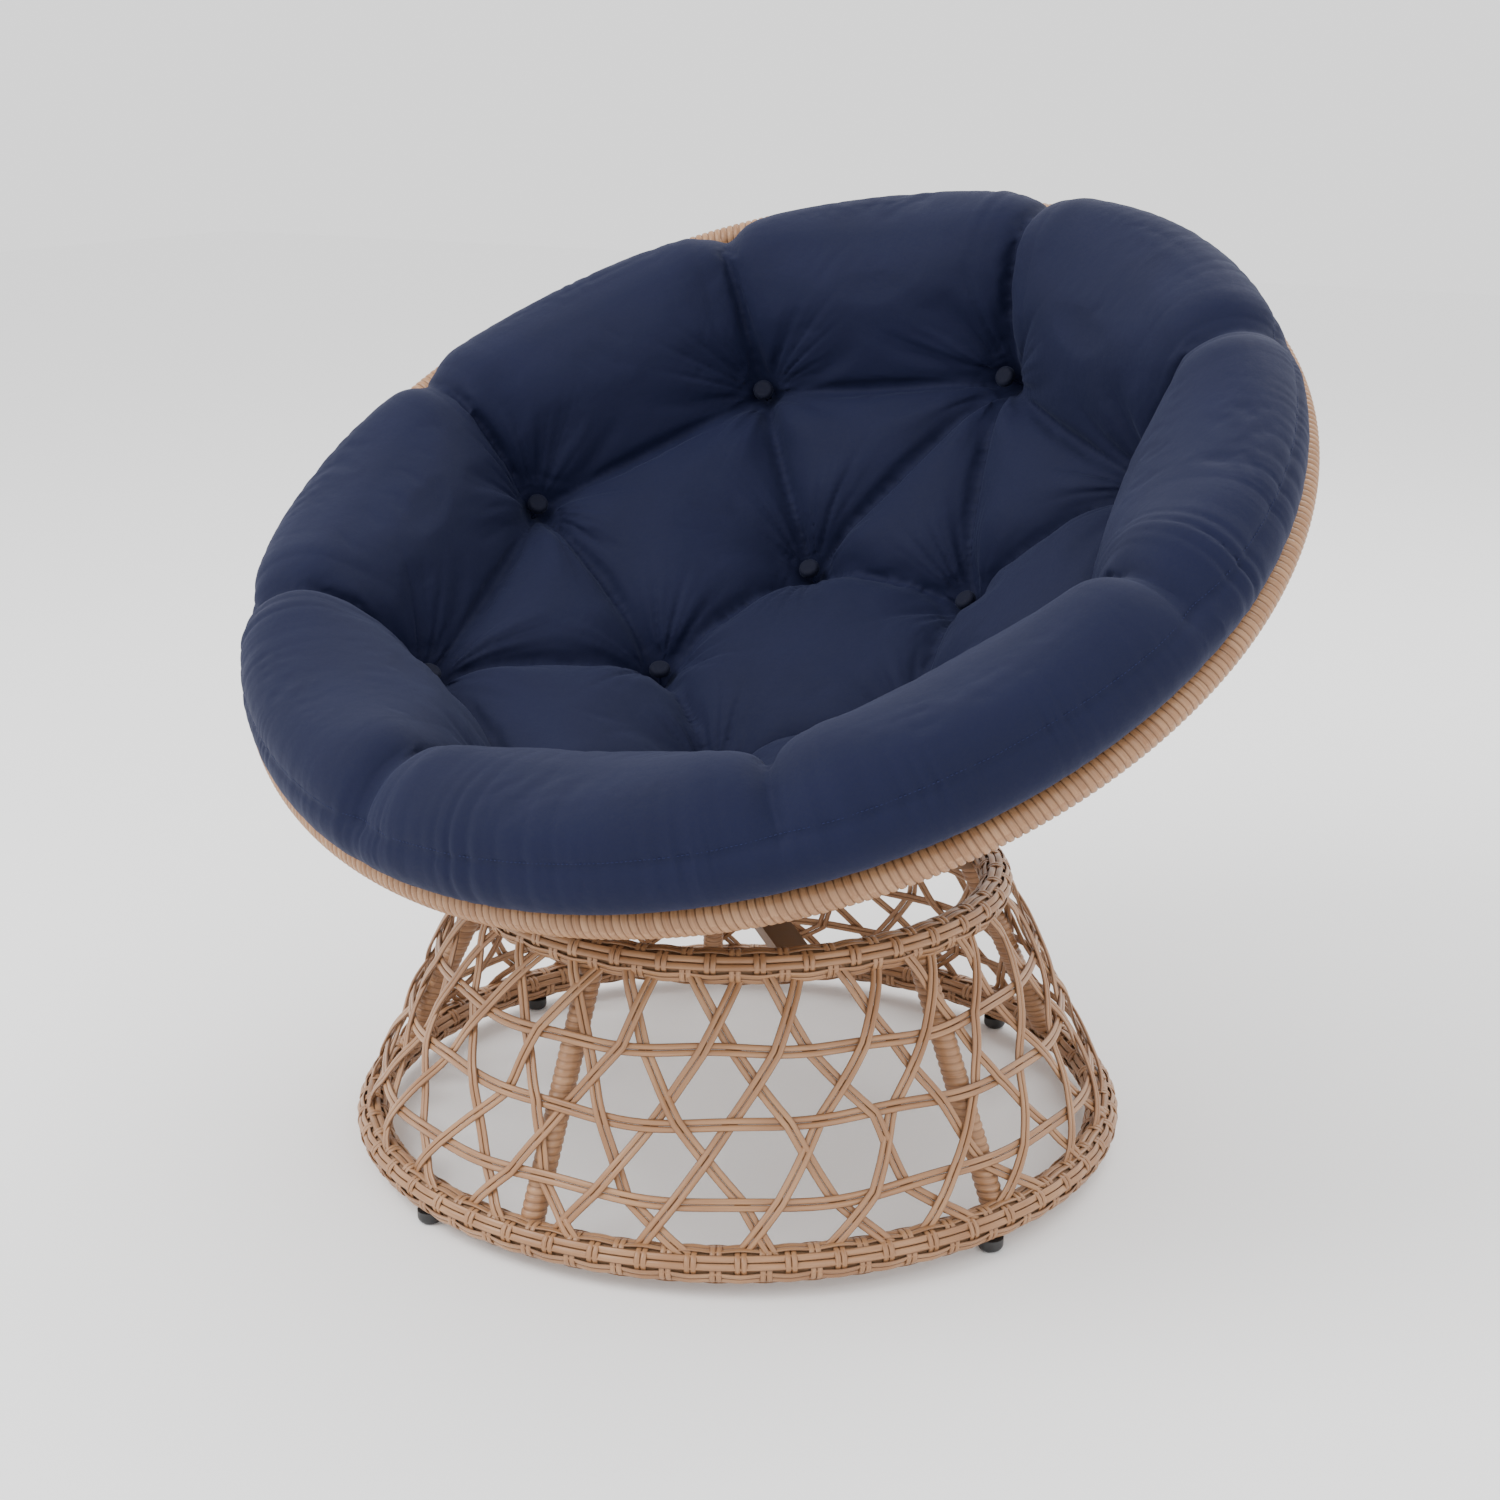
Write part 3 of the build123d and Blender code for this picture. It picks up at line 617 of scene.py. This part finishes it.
black_plastic = moulded("black_plastic", (0.018, 0.018, 0.019))
cage_plastic = moulded("cage_plastic", (0.55, 0.54, 0.50))
plated_steel = metal("plated_steel", (0.62, 0.62, 0.60), (0.42, 0.42, 0.40), 0.30, 1.0, 140.0)
dress(black_plastic, *[f"floor_glide_{number}" for number in range(1, 5)])
dress(tan_steel, "cross_bar_long", "cross_bar_halves", "swivel_plate_lower", "swivel_plate_upper")
dress(cage_plastic, "ball_cage")
dress(plated_steel, "bearing_balls", "pivot_bolt", "pivot_washer", "pivot_nut", "lower_plate_screws",
      "lower_plate_nuts", "upper_plate_screws", "upper_plate_nuts")


# --- Bowl frame -----------------------------------------------------------------
# Steel ribs run from a hub plate up to the rim, tied by a middle ring. The cradle
# of webs and a dished saddle carries them on the mount plate. All painted tan.

rib_names = [f"bowl_rib_{number}" for number in range(1, 9)]
dress(tan_steel, "rim_tube", "bowl_hub_plate", "bowl_middle_ring", "bowl_mount_plate", "cradle_webs",
      "cradle_saddle", *rib_names)


# --- Basket of the bowl -----------------------------------------------------------
# The same twin strands as on the stand, laced over the inside of the ribs: one
# zone from the rim to the middle ring and a closer one from there to the hub.

bowl_radius = 0.62914
rim_depth = math.sqrt(bowl_radius**2 - rim_radius**2)
bowl_frame = rim_frame @ Matrix.Translation((0, 0, rim_depth))
basket_radius = 0.6135


def bowl_surface(tree, turn, place, offset):
    """A point on the bowl's inner sphere, place being the polar angle in radians."""
    reach = basket_radius - offset
    point = round_axis(tree, reach * place.math("SINE"), turn, reach * place.math("COSINE") * -1.0)
    return point, round_axis(tree, place.math("SINE"), turn, place.math("COSINE") * -1.0)


outer_polars = [math.radians(angle) for angle in (55.6, 51.5, 45.5, 39.5, 34.0)]
inner_polars = [math.radians(angle) for angle in (34.5, 28.0, 21.0, 14.5, 8.4)]
basket_zones = {
    "outer": (outer_polars, (1, 2, 3, 4), {"Pairs": 34, "Jitter": 0.026, "Seed": 11.0, "Hoop Points": 360}),
    "inner": (inner_polars, (1, 2, 3), {"Pairs": 14, "Jitter": 0.05, "Seed": 23.0, "Hoop Points": 160}),
}
for zone, (polars, hoop_levels, sizes) in basket_zones.items():
    zone_lattice = lattice(f"Basket Lattice {zone}", bowl_surface, polars, hoop_levels)
    basket = work(zone_lattice, f"bowl_basket_{zone}", {
        **sizes, "Middle Offset": 0.0, "Swing": 0.0022, "Spread": 0.0015, "Strand Width": 0.0068,
        "Strand Thickness": 0.0026, "Hoop Wave": 0.004,
    })
    basket.data.transform(bowl_frame)
    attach(basket, "bowl")
    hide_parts("bowl_basket")


# --- Cushion ----------------------------------------------------------------------
# A dished round pad of woven polyester over loose fill. Two panels meet in a seam
# round the edge, and cords pull thirteen covered buttons down into it.

cushion_tilt = math.radians(27.8)
side_slide = math.radians(-2.5)
cushion_frame = (Matrix.Translation(bowl_frame.translation) @ Matrix.Rotation(cushion_tilt, 4, "X")
                 @ Matrix.Rotation(side_slide, 4, "Y"))
top_radius = 0.5149
under_radius = 0.6049
edge_polar = math.radians(56.5)
edge_half = (under_radius - top_radius) / 2
middle_radius = (under_radius + top_radius) / 2
top_run = edge_polar * top_radius
seam_run = top_run + edge_half * math.radians(135)
edge_run = top_run + edge_half * math.pi
full_run = edge_run + edge_polar * under_radius
tufts = [(41.5, 31.0 + 45.0 * number) for number in range(8)]
tufts += [(18.0, 64.0 + 72.0 * number) for number in range(5)]
tuft_spots = np.array([
    (math.radians(polar) * top_radius * math.sin(math.radians(turn)),
     math.radians(polar) * top_radius * math.cos(math.radians(turn)))
    for polar, turn in tufts
])


def profile_point(run):
    """Reach, height and outward direction on the pad's outline, by the run from the top's centre."""
    polar = np.clip(run / top_radius, 0, edge_polar)
    reach = top_radius * np.sin(polar)
    height = -top_radius * np.cos(polar)
    out_reach = -np.sin(polar)
    out_height = np.cos(polar)
    bend = np.clip((run - top_run) / edge_half, 0, math.pi)
    on_edge = run > top_run
    side = -np.cos(bend)
    tip = np.sin(bend)
    edge_out_reach = side * math.sin(edge_polar) + tip * math.cos(edge_polar)
    edge_out_height = -side * math.cos(edge_polar) + tip * math.sin(edge_polar)
    out_reach = np.where(on_edge, edge_out_reach, out_reach)
    out_height = np.where(on_edge, edge_out_height, out_height)
    reach = np.where(on_edge, middle_radius * math.sin(edge_polar) + edge_half * edge_out_reach, reach)
    height = np.where(on_edge, -middle_radius * math.cos(edge_polar) + edge_half * edge_out_height, height)
    under = run > edge_run
    polar = edge_polar - np.clip((run - edge_run) / under_radius, 0, edge_polar)
    reach = np.where(under, under_radius * np.sin(polar), reach)
    height = np.where(under, -under_radius * np.cos(polar), height)
    out_reach = np.where(under, np.sin(polar), out_reach)
    out_height = np.where(under, -np.cos(polar), out_height)
    return reach, height, out_reach, out_height


creases = []
for number in range(8):
    turn = math.radians(tufts[number][1])
    rim_spot = np.array([math.sin(turn), math.cos(turn)]) * (seam_run - 0.004)
    creases.append((tuft_spots[number], tuft_spots[(number + 1) % 8], 0.040, 0.026, 0.040, 0.070))
    creases.append((tuft_spots[number], rim_spot, 0.040, 0.022, 0.014, 0.070))
    spans = np.hypot(*(tuft_spots[8:] - tuft_spots[number]).T)
    nearest = spans.min()
    for inner in range(5):
        if spans[inner] < 1.22 * nearest:
            creases.append((tuft_spots[number], tuft_spots[8 + inner], 0.038, 0.024, 0.038, 0.060))
for number in range(5):
    creases.append((tuft_spots[8 + number], tuft_spots[8 + (number + 1) % 5], 0.038, 0.025, 0.038, 0.056))


slack_depth = 0.036
button_seat = 0.0085


def pull_depth(flat):
    """How far the cover is pulled in at points laid out flat: creases between tufts, deepest at them."""
    total = np.zeros(len(flat))
    for start, end, at_start, halfway, at_end, width in creases:
        along = end - start
        share = np.clip((flat - start) @ along / (along @ along), 0, 1)
        gap = np.hypot(*(flat - start - share[:, None] * along).T)
        line = halfway + np.where(share < 0.5, at_start - halfway, at_end - halfway) * (2 * share - 1) ** 2
        total += (line * np.clip(1 - gap / width, 0, 1) ** 2.2) ** 3
    for spot in tuft_spots:
        gap = np.clip(np.hypot(*(flat - spot).T) - 0.010, 0, None)
        total += (0.062 * np.clip(1 - gap / 0.082, 0, 1) ** 2.0) ** 3
    total = total ** (1 / 3)
    past = np.clip(total - slack_depth, 0, None)
    return total - past + button_seat * (1 - np.exp(-past / button_seat))


def swell(run, turn):
    """How far the filled cover stands out from the plain pad before the cords pull it in."""
    from_plump_side = (turn - 2.45 + math.pi) % (2 * math.pi) - math.pi
    fuller_side = 0.004 * np.cos(turn) + 0.013 * np.exp(-((from_plump_side / 0.55) ** 2))
    edge = np.exp(-(((run - top_run - 0.055) / 0.075) ** 2)) * fuller_side
    fade = np.clip((edge_run + 0.06 - run) / 0.12, 0, 1)
    return (0.004 + edge) * fade * fade * (3 - 2 * fade)


rows = 132
columns = 360
runs = np.linspace(0, full_run, rows + 2)[1:-1]
turns = np.linspace(0, 2 * math.pi, columns, endpoint=False)
run_grid, turn_grid = np.meshgrid(runs, turns, indexing="ij")
run_list, turn_list = run_grid.ravel(), turn_grid.ravel()
reach, height, out_reach, out_height = profile_point(run_list)
flat = np.stack([run_list * np.sin(turn_list), run_list * np.cos(turn_list)], 1)
beyond = np.clip((edge_run - run_list) / (edge_run - seam_run), 0, 1)
lift = swell(run_list, turn_list) - pull_depth(flat) * beyond
reach = reach + out_reach * lift
height = height + out_height * lift
points = np.stack([reach * np.sin(turn_list), -reach * np.cos(turn_list), height], 1)
top_pole = (0, 0, float(points[:columns, 2].mean()))
under_pole = (0, 0, -under_radius)
faces = []
for row_number in range(rows - 1):
    first = row_number * columns
    for column in range(columns):
        beside = (column + 1) % columns
        faces.append((first + column, first + beside, first + columns + beside, first + columns + column))
last_row = (rows - 1) * columns
for column in range(columns):
    beside = (column + 1) % columns
    faces.append((rows * columns, beside, column))
    faces.append((rows * columns + 1, last_row + column, last_row + beside))
cushion_mesh = bpy.data.meshes.new("cushion_body")
cushion_mesh.from_pydata([*map(tuple, points), top_pole, under_pole], [], faces)
face_outwards(cushion_mesh)
cushion = bpy.data.objects.new("cushion_body", cushion_mesh)
bpy.context.collection.objects.link(cushion)


def settle(piece):
    """Applies the piece's modifiers."""
    seen = piece.evaluated_get(bpy.context.evaluated_depsgraph_get())
    old = piece.data
    piece.data = bpy.data.meshes.new_from_object(seen)
    piece.data.name = piece.name
    piece.modifiers.clear()
    bpy.data.meshes.remove(old)


def flat_place(points):
    """Where points of the pad lie on its flat pattern: run from the top's centre, and turn."""
    turn = np.arctan2(points[:, 0], -points[:, 1])
    reach = np.hypot(points[:, 0], points[:, 1])
    edge_reach = middle_radius * math.sin(edge_polar)
    edge_height = -middle_radius * math.cos(edge_polar)
    polar = np.arctan2(reach, -points[:, 2])
    distance = np.hypot(reach, points[:, 2])
    side = (reach - edge_reach) * math.sin(edge_polar) - (points[:, 2] - edge_height) * math.cos(edge_polar)
    tip = (reach - edge_reach) * math.cos(edge_polar) + (points[:, 2] - edge_height) * math.sin(edge_polar)
    bend = np.arctan2(tip, -side)
    edge = top_run + edge_half * bend
    under = edge_run + (edge_polar - polar) * under_radius
    run = np.where(distance > middle_radius, under, polar * top_radius)
    return np.where(tip > 0, edge, run), turn


voxel = 0.006
cloth_frames = 15
most_swell = 0.026
remesh = cushion.modifiers.new("even_mesh", "REMESH")
remesh.mode = "VOXEL"
remesh.voxel_size = voxel
settle(cushion)

start_points = read_points(cushion.data)
run, turn = flat_place(start_points)
flat = np.stack([run * np.sin(turn), run * np.cos(turn)], 1)
hold = np.clip((run - seam_run - 0.02) / 0.04, 0, 1)
for spot in tuft_spots:
    hold = np.maximum(hold, np.clip(1.6 - np.hypot(*(flat - spot).T) / 0.0105, 0, 1) * (run < top_run))
held = cushion.vertex_groups.new(name="held")
for number in np.nonzero(hold > 0.02)[0]:
    held.add([int(number)], float(hold[number]), "REPLACE")
filling = cushion.modifiers.new("filling", "CLOTH")
filling.settings.quality = 4
filling.settings.mass = 0.15
filling.settings.tension_stiffness = 18
filling.settings.compression_stiffness = 18
filling.settings.shear_stiffness = 6
filling.settings.bending_stiffness = 0.15
filling.settings.use_pressure = True
filling.settings.uniform_pressure_force = 4.0
filling.settings.vertex_group_mass = "held"
filling.settings.effector_weights.gravity = 0
filling.collision_settings.use_collision = False
for frame_number in range(1, cloth_frames + 1):
    bpy.context.scene.frame_set(frame_number)
settle(cushion)
bpy.context.scene.frame_set(1)
moved = read_points(cushion.data) - start_points
length = np.linalg.norm(moved, axis=1)
moved *= (np.minimum(length, most_swell) / np.maximum(length, 1e-9))[:, None]
cushion.data.vertices.foreach_set("co", (start_points + moved).ravel())

# The lower panel sags out over the rim and down to the basket, as far as they let it.
points = read_points(cushion.data)
normals = read_points(cushion.data, "normal")
run, turn = flat_place(points)
slope_side = np.clip(0.20 + 0.85 * np.cos(turn - 0.5), 0, 1)
sag = np.exp(-(((run - edge_run + 0.004) / 0.036) ** 2)) * (0.004 + 0.020 * slope_side)
rim_from_cushion = np.array(cushion_frame.inverted() @ rim_frame)
to_cushion = rim_from_cushion[:3, :3]
rim_middle = rim_from_cushion[:3, 3]
rim_clearance = rim_tube_radius + 0.0044
basket_clearance = 0.6092
sag_steps = 12
for _ in range(sag_steps):
    points += normals * (sag / sag_steps)[:, None]
    local = (points - rim_middle) @ to_cushion
    level_reach = np.hypot(local[:, 0], local[:, 1])
    away = np.stack([level_reach - rim_radius, local[:, 2]], 1)
    distance = np.hypot(*away.T)
    push = np.clip(rim_clearance / np.maximum(distance, 1e-6), 1, None) - 1
    shift = away * push[:, None]
    unit = local[:, :2] / np.maximum(level_reach, 1e-6)[:, None]
    local += np.column_stack([unit * shift[:, :1], shift[:, 1]])
    points = local @ to_cushion.T + rim_middle
    distance = np.linalg.norm(points, axis=1)
    inside = local[:, 2] < 0.004
    points *= np.where(inside & (distance > basket_clearance), basket_clearance / distance, 1)[:, None]
cushion.data.vertices.foreach_set("co", points.ravel())
cushion.data.update()
finer = cushion.modifiers.new("finer", "SUBSURF")
finer.levels = 1
finer.render_levels = 1
settle(cushion)


# --- Cushion: pleats, gathers and fabric --------------------------------------------
# Small folds the filling can't smooth out: pleats that run into every button and
# gathers where the two panels are sewn together. The cover is a navy plain weave.


def folds(phase, sharpness):
    """Rounded folds between sharp valleys, from 0 in a valley to 1 on a crest."""
    return np.abs(np.sin(phase)) ** sharpness


def wavelets(turn, waves):
    """A slow uneven wave round the pad, from -1 to 1."""
    total = sum(size * np.sin(count * turn + shift) for count, size, shift in waves)
    return total / sum(size for count, size, shift in waves)


points = read_points(cushion.data)
normals = read_points(cushion.data, "normal")
run, turn = flat_place(points)
flat = np.stack([run * np.sin(turn), run * np.cos(turn)], 1)
button_pad, pleat_depth, fine_pleat_depth = 0.0020, 0.0034, 0.0013
crease_depth, crease_line_depth = 0.0068, 0.0044
luck = np.random.default_rng(41)
relief = np.zeros(len(points))
on_top = np.clip((seam_run - run) / 0.03, 0, 1)
for number, spot in enumerate(tuft_spots):
    offset = flat - spot
    gap = np.hypot(*offset.T)
    bearing = np.arctan2(offset[:, 0], offset[:, 1])
    pleat_count = int(luck.integers(5, 8))
    lean, skew = luck.uniform(0, 2 * math.pi, 2)
    bearing_now = bearing + 0.35 * np.sin(2 * bearing + skew) + 0.16 * np.sin(3 * bearing + lean)
    relief += button_pad * np.exp(-((gap / 0.0125) ** 4)) * on_top
    reach = 0.046 + 0.030 * np.sin(2.0 * bearing + lean) ** 2 + 0.018 * np.sin(5 * bearing + skew)
    strength = np.exp(-(((gap - 0.021) / np.where(gap < 0.021, 0.008, reach)) ** 2))
    pleats = folds(pleat_count * bearing_now + skew, 0.65) - 0.62
    fine_pleats = folds((2 * pleat_count + 1) * bearing_now + lean, 0.8) - 0.6
    relief += pleat_depth * strength * pleats * on_top
    relief += fine_pleat_depth * strength * fine_pleats * on_top

for start, end, at_start, halfway, at_end, width in creases:
    along = end - start
    share = np.clip((flat - start) @ along / (along @ along), 0, 1)
    gap = np.hypot(*(flat - start - share[:, None] * along).T)
    drawn = 0.6 + 0.4 * np.abs(2 * share - 1)
    inward = np.clip((0.500 - run) / 0.06, 0, 1)
    sunk = crease_depth * np.exp(-gap / 0.011) + crease_line_depth * np.exp(-gap / 0.0032)
    relief -= sunk * drawn * inward

gather = 0.5 + 0.5 * wavelets(turn, ((5, 1.0, 0.4), (8, 1.4, 2.2), (13, 0.8, 1.1)))
phase = 54 * turn + 2.2 * np.sin(7 * turn + 0.6) + 1.5 * np.sin(17 * turn) + 1.1 * np.sin(29 * turn + 2.0)
fine_phase = 118 * turn + 3.0 * np.sin(11 * turn + 1.7) + 1.6 * np.sin(31 * turn + 0.3)
from_seam = run - seam_run
above = np.exp(-((np.clip(-from_seam, 0, None) / (0.026 + 0.075 * gather**2)) ** 1.3))
below = np.exp(-((np.clip(from_seam, 0, None) / 0.034) ** 1.5))
near_seam = above * below
pinch = 1 - np.exp(-((from_seam / 0.0032) ** 2))
patchy = 0.5 + 0.5 * wavelets(turn, ((19, 1.0, 0.2), (31, 1.2, 1.4), (43, 0.8, 2.6)))
relief += (0.0003 + 0.0034 * gather * patchy) * near_seam * (folds(phase, 0.8) - 0.6)
relief += 0.0012 * patchy * near_seam**2 * (folds(fine_phase, 0.8) - 0.6)
relief -= 0.0016 * (1 - pinch) + 0.0022 * np.exp(-((from_seam / 0.011) ** 2))
slack = wavelets(turn, ((3, 1.0, 0.3), (7, 0.7, 1.9))) * np.sin(run / 0.031 + 2.0 * np.sin(3 * turn))
relief += 0.0012 * slack * on_top * np.clip(run / 0.08, 0, 1)
for number in range(8):
    crease_turn = math.radians(tufts[number][1])
    swing = (turn - crease_turn + math.pi) % (2 * math.pi) - math.pi
    aside = swing * np.maximum(run, 0.1)
    stretch = np.clip((run - 0.40) / 0.08, 0, 1) * below
    beside_crease = stretch * np.exp(-((aside / 0.055) ** 2))
    relief += 0.0022 * beside_crease * (folds(aside / 0.015 + number, 0.8) - 0.6)
points += normals * relief[:, None]
cushion.data.vertices.foreach_set("co", points.ravel())
cushion.data.update()
cushion.data.polygons.foreach_set("use_smooth", [True] * len(cushion.data.polygons))
cloth_place = cushion.data.attributes.new("cloth", "FLOAT_VECTOR", "POINT")
cloth_place.data.foreach_set("vector", np.column_stack([flat, from_seam]).ravel())

cloth, given, result = effect(
    "Plain Weave",
    {"Place": None, "Colour": (0.012, 0.017, 0.055, 1.0), "Lit": (0.02, 0.028, 0.085, 1.0),
     "Threads": 1900.0},
    {"Colour": tuple, "Roughness": float, "Height": float},
)
flat_wires = step(cloth, "ShaderNodeSeparateXYZ", Vector=given["Place"])
warp = (flat_wires * given["Threads"] * math.pi).math("SINE")
weft = (flat_wires.other("Y") * given["Threads"] * math.pi).math("SINE")
weave_height = warp * weft * 0.5 + 0.5
cloudy = step(cloth, "ShaderNodeTexNoise", Vector=given["Place"], Scale=9.0, Detail=4.0)
slub = step(cloth, "ShaderNodeTexNoise", Vector=given["Place"], Scale=340.0, Detail=3.0)
# The paler colour comes partly from random cloudy and slub tone, and partly from the weave's raised crests:
# painted highlight on the crests, painted shade in the hollows between them.
tone = cloudy * 0.5 + slub * 0.3 + weave_height * 0.2
plug(cloth, result["Colour"], step(cloth, "ShaderNodeMix", data_type="RGBA", Factor=tone,
                                   A=given["Colour"], B=given["Lit"]))
plug(cloth, result["Roughness"], 0.70 + slub * 0.16)
crumple = step(cloth, "ShaderNodeTexNoise", Vector=given["Place"], Scale=42.0, Detail=5.0, Roughness=0.55)
plug(cloth, result["Height"], weave_height * 0.06 + crumple * 0.9 + slub * 0.04)


def fabric(name, attribute, colour, lit):
    """Woven polyester, paler in random patches and with painted highlight on its raised weave crests. Its
    threads follow the pad's flat pattern, or the object on small pieces.
    """
    material, shader = finish(name, cloth, attribute, 0.55, 0.0016, Colour=(*colour, 1), Lit=(*lit, 1))
    shader.inputs["Specular IOR Level"].default_value = 0.22
    shader.inputs["Sheen Weight"].default_value = 0.06
    shader.inputs["Sheen Roughness"].default_value = 0.45
    shader.inputs["Sheen Tint"].default_value = (0.45, 0.52, 0.85, 1)
    return material


navy_cover = fabric("navy_cover", "cloth", (0.0017, 0.0032, 0.0180), (0.0040, 0.0066, 0.0330))
# Painted shade: the buttons are covered in the cover's navy, but their colour is about half as bright so
# that they read as sunk in shadowed pits.
navy_button_painted_shade = fabric("navy_button_painted_shade", None, (0.0008, 0.0015, 0.0085), (0.0019, 0.0032, 0.0160))
navy_thread = fabric("navy_thread", None, (0.005, 0.008, 0.036), (0.011, 0.016, 0.066))
cushion.data.materials.clear()
cushion.data.materials.append(navy_cover)
dress(navy_button_painted_shade, "tuft_buttons_top", "tuft_buttons_underside")
dress(navy_thread, "tuft_cords")

cushion.data.transform(cushion_frame)
face_outwards(cushion.data)
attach(cushion, "cushion")
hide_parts("cushion_filling", "cushion_top_cover", "cushion_bottom_cover")


# --- Seam stitches ------------------------------------------------------------------
# A line of lock stitches in the cover's own navy thread runs round the edge just
# above the seam, one short stitch after another.

stitching, path, size = pattern(
    "Seam Stitches", {"Stitch Spacing": 0.0040, "Half Length": 0.0014, "Thread Radius": 0.00045},
)
line = step(stitching, "GeometryNodeMeshToCurve", Mesh=path)
spaced = step(stitching, "GeometryNodeResampleCurve", mode="LENGTH", Curve=line,
              Length=size["Stitch Spacing"])
bead = step(stitching, "GeometryNodeMeshUVSphere", Segments=6, Rings=4, Radius=1.0)
stitch_size = step(stitching, "ShaderNodeCombineXYZ", X=size["Thread Radius"], Y=size["Thread Radius"],
                   Z=size["Half Length"])
stitch = step(stitching, "GeometryNodeTransform", Geometry=bead, Scale=stitch_size)
lengthways = step(stitching, "FunctionNodeAlignRotationToVector", axis="Z",
                  Vector=step(stitching, "GeometryNodeInputTangent"))
sewn = step(stitching, "GeometryNodeInstanceOnPoints", Points=spaced, Instance=stitch, Rotation=lengthways)
finish_pattern(stitching, [sewn], navy_thread)

seam_band = np.abs(run - seam_run + 0.0030) < 0.0022
bins = 540
slots = ((turn[seam_band] + math.pi) / (2 * math.pi) * bins).astype(int) % bins
seam_points = points[seam_band] + normals[seam_band] * 0.0002
seam_line = [seam_points[slots == number].mean(0) for number in range(bins) if (slots == number).any()]
seam_line = np.array(seam_line)
for _ in range(3):
    seam_line = (np.roll(seam_line, 1, 0) + 2 * seam_line + np.roll(seam_line, -1, 0)) / 4
links = [(number, (number + 1) % len(seam_line)) for number in range(len(seam_line))]
stitches = work(stitching, "seam_stitches", {}, ([tuple(spot) for spot in seam_line], links))
stitches.data.transform(cushion_frame)
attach(stitches, "cushion")
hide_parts("cushion_seam")
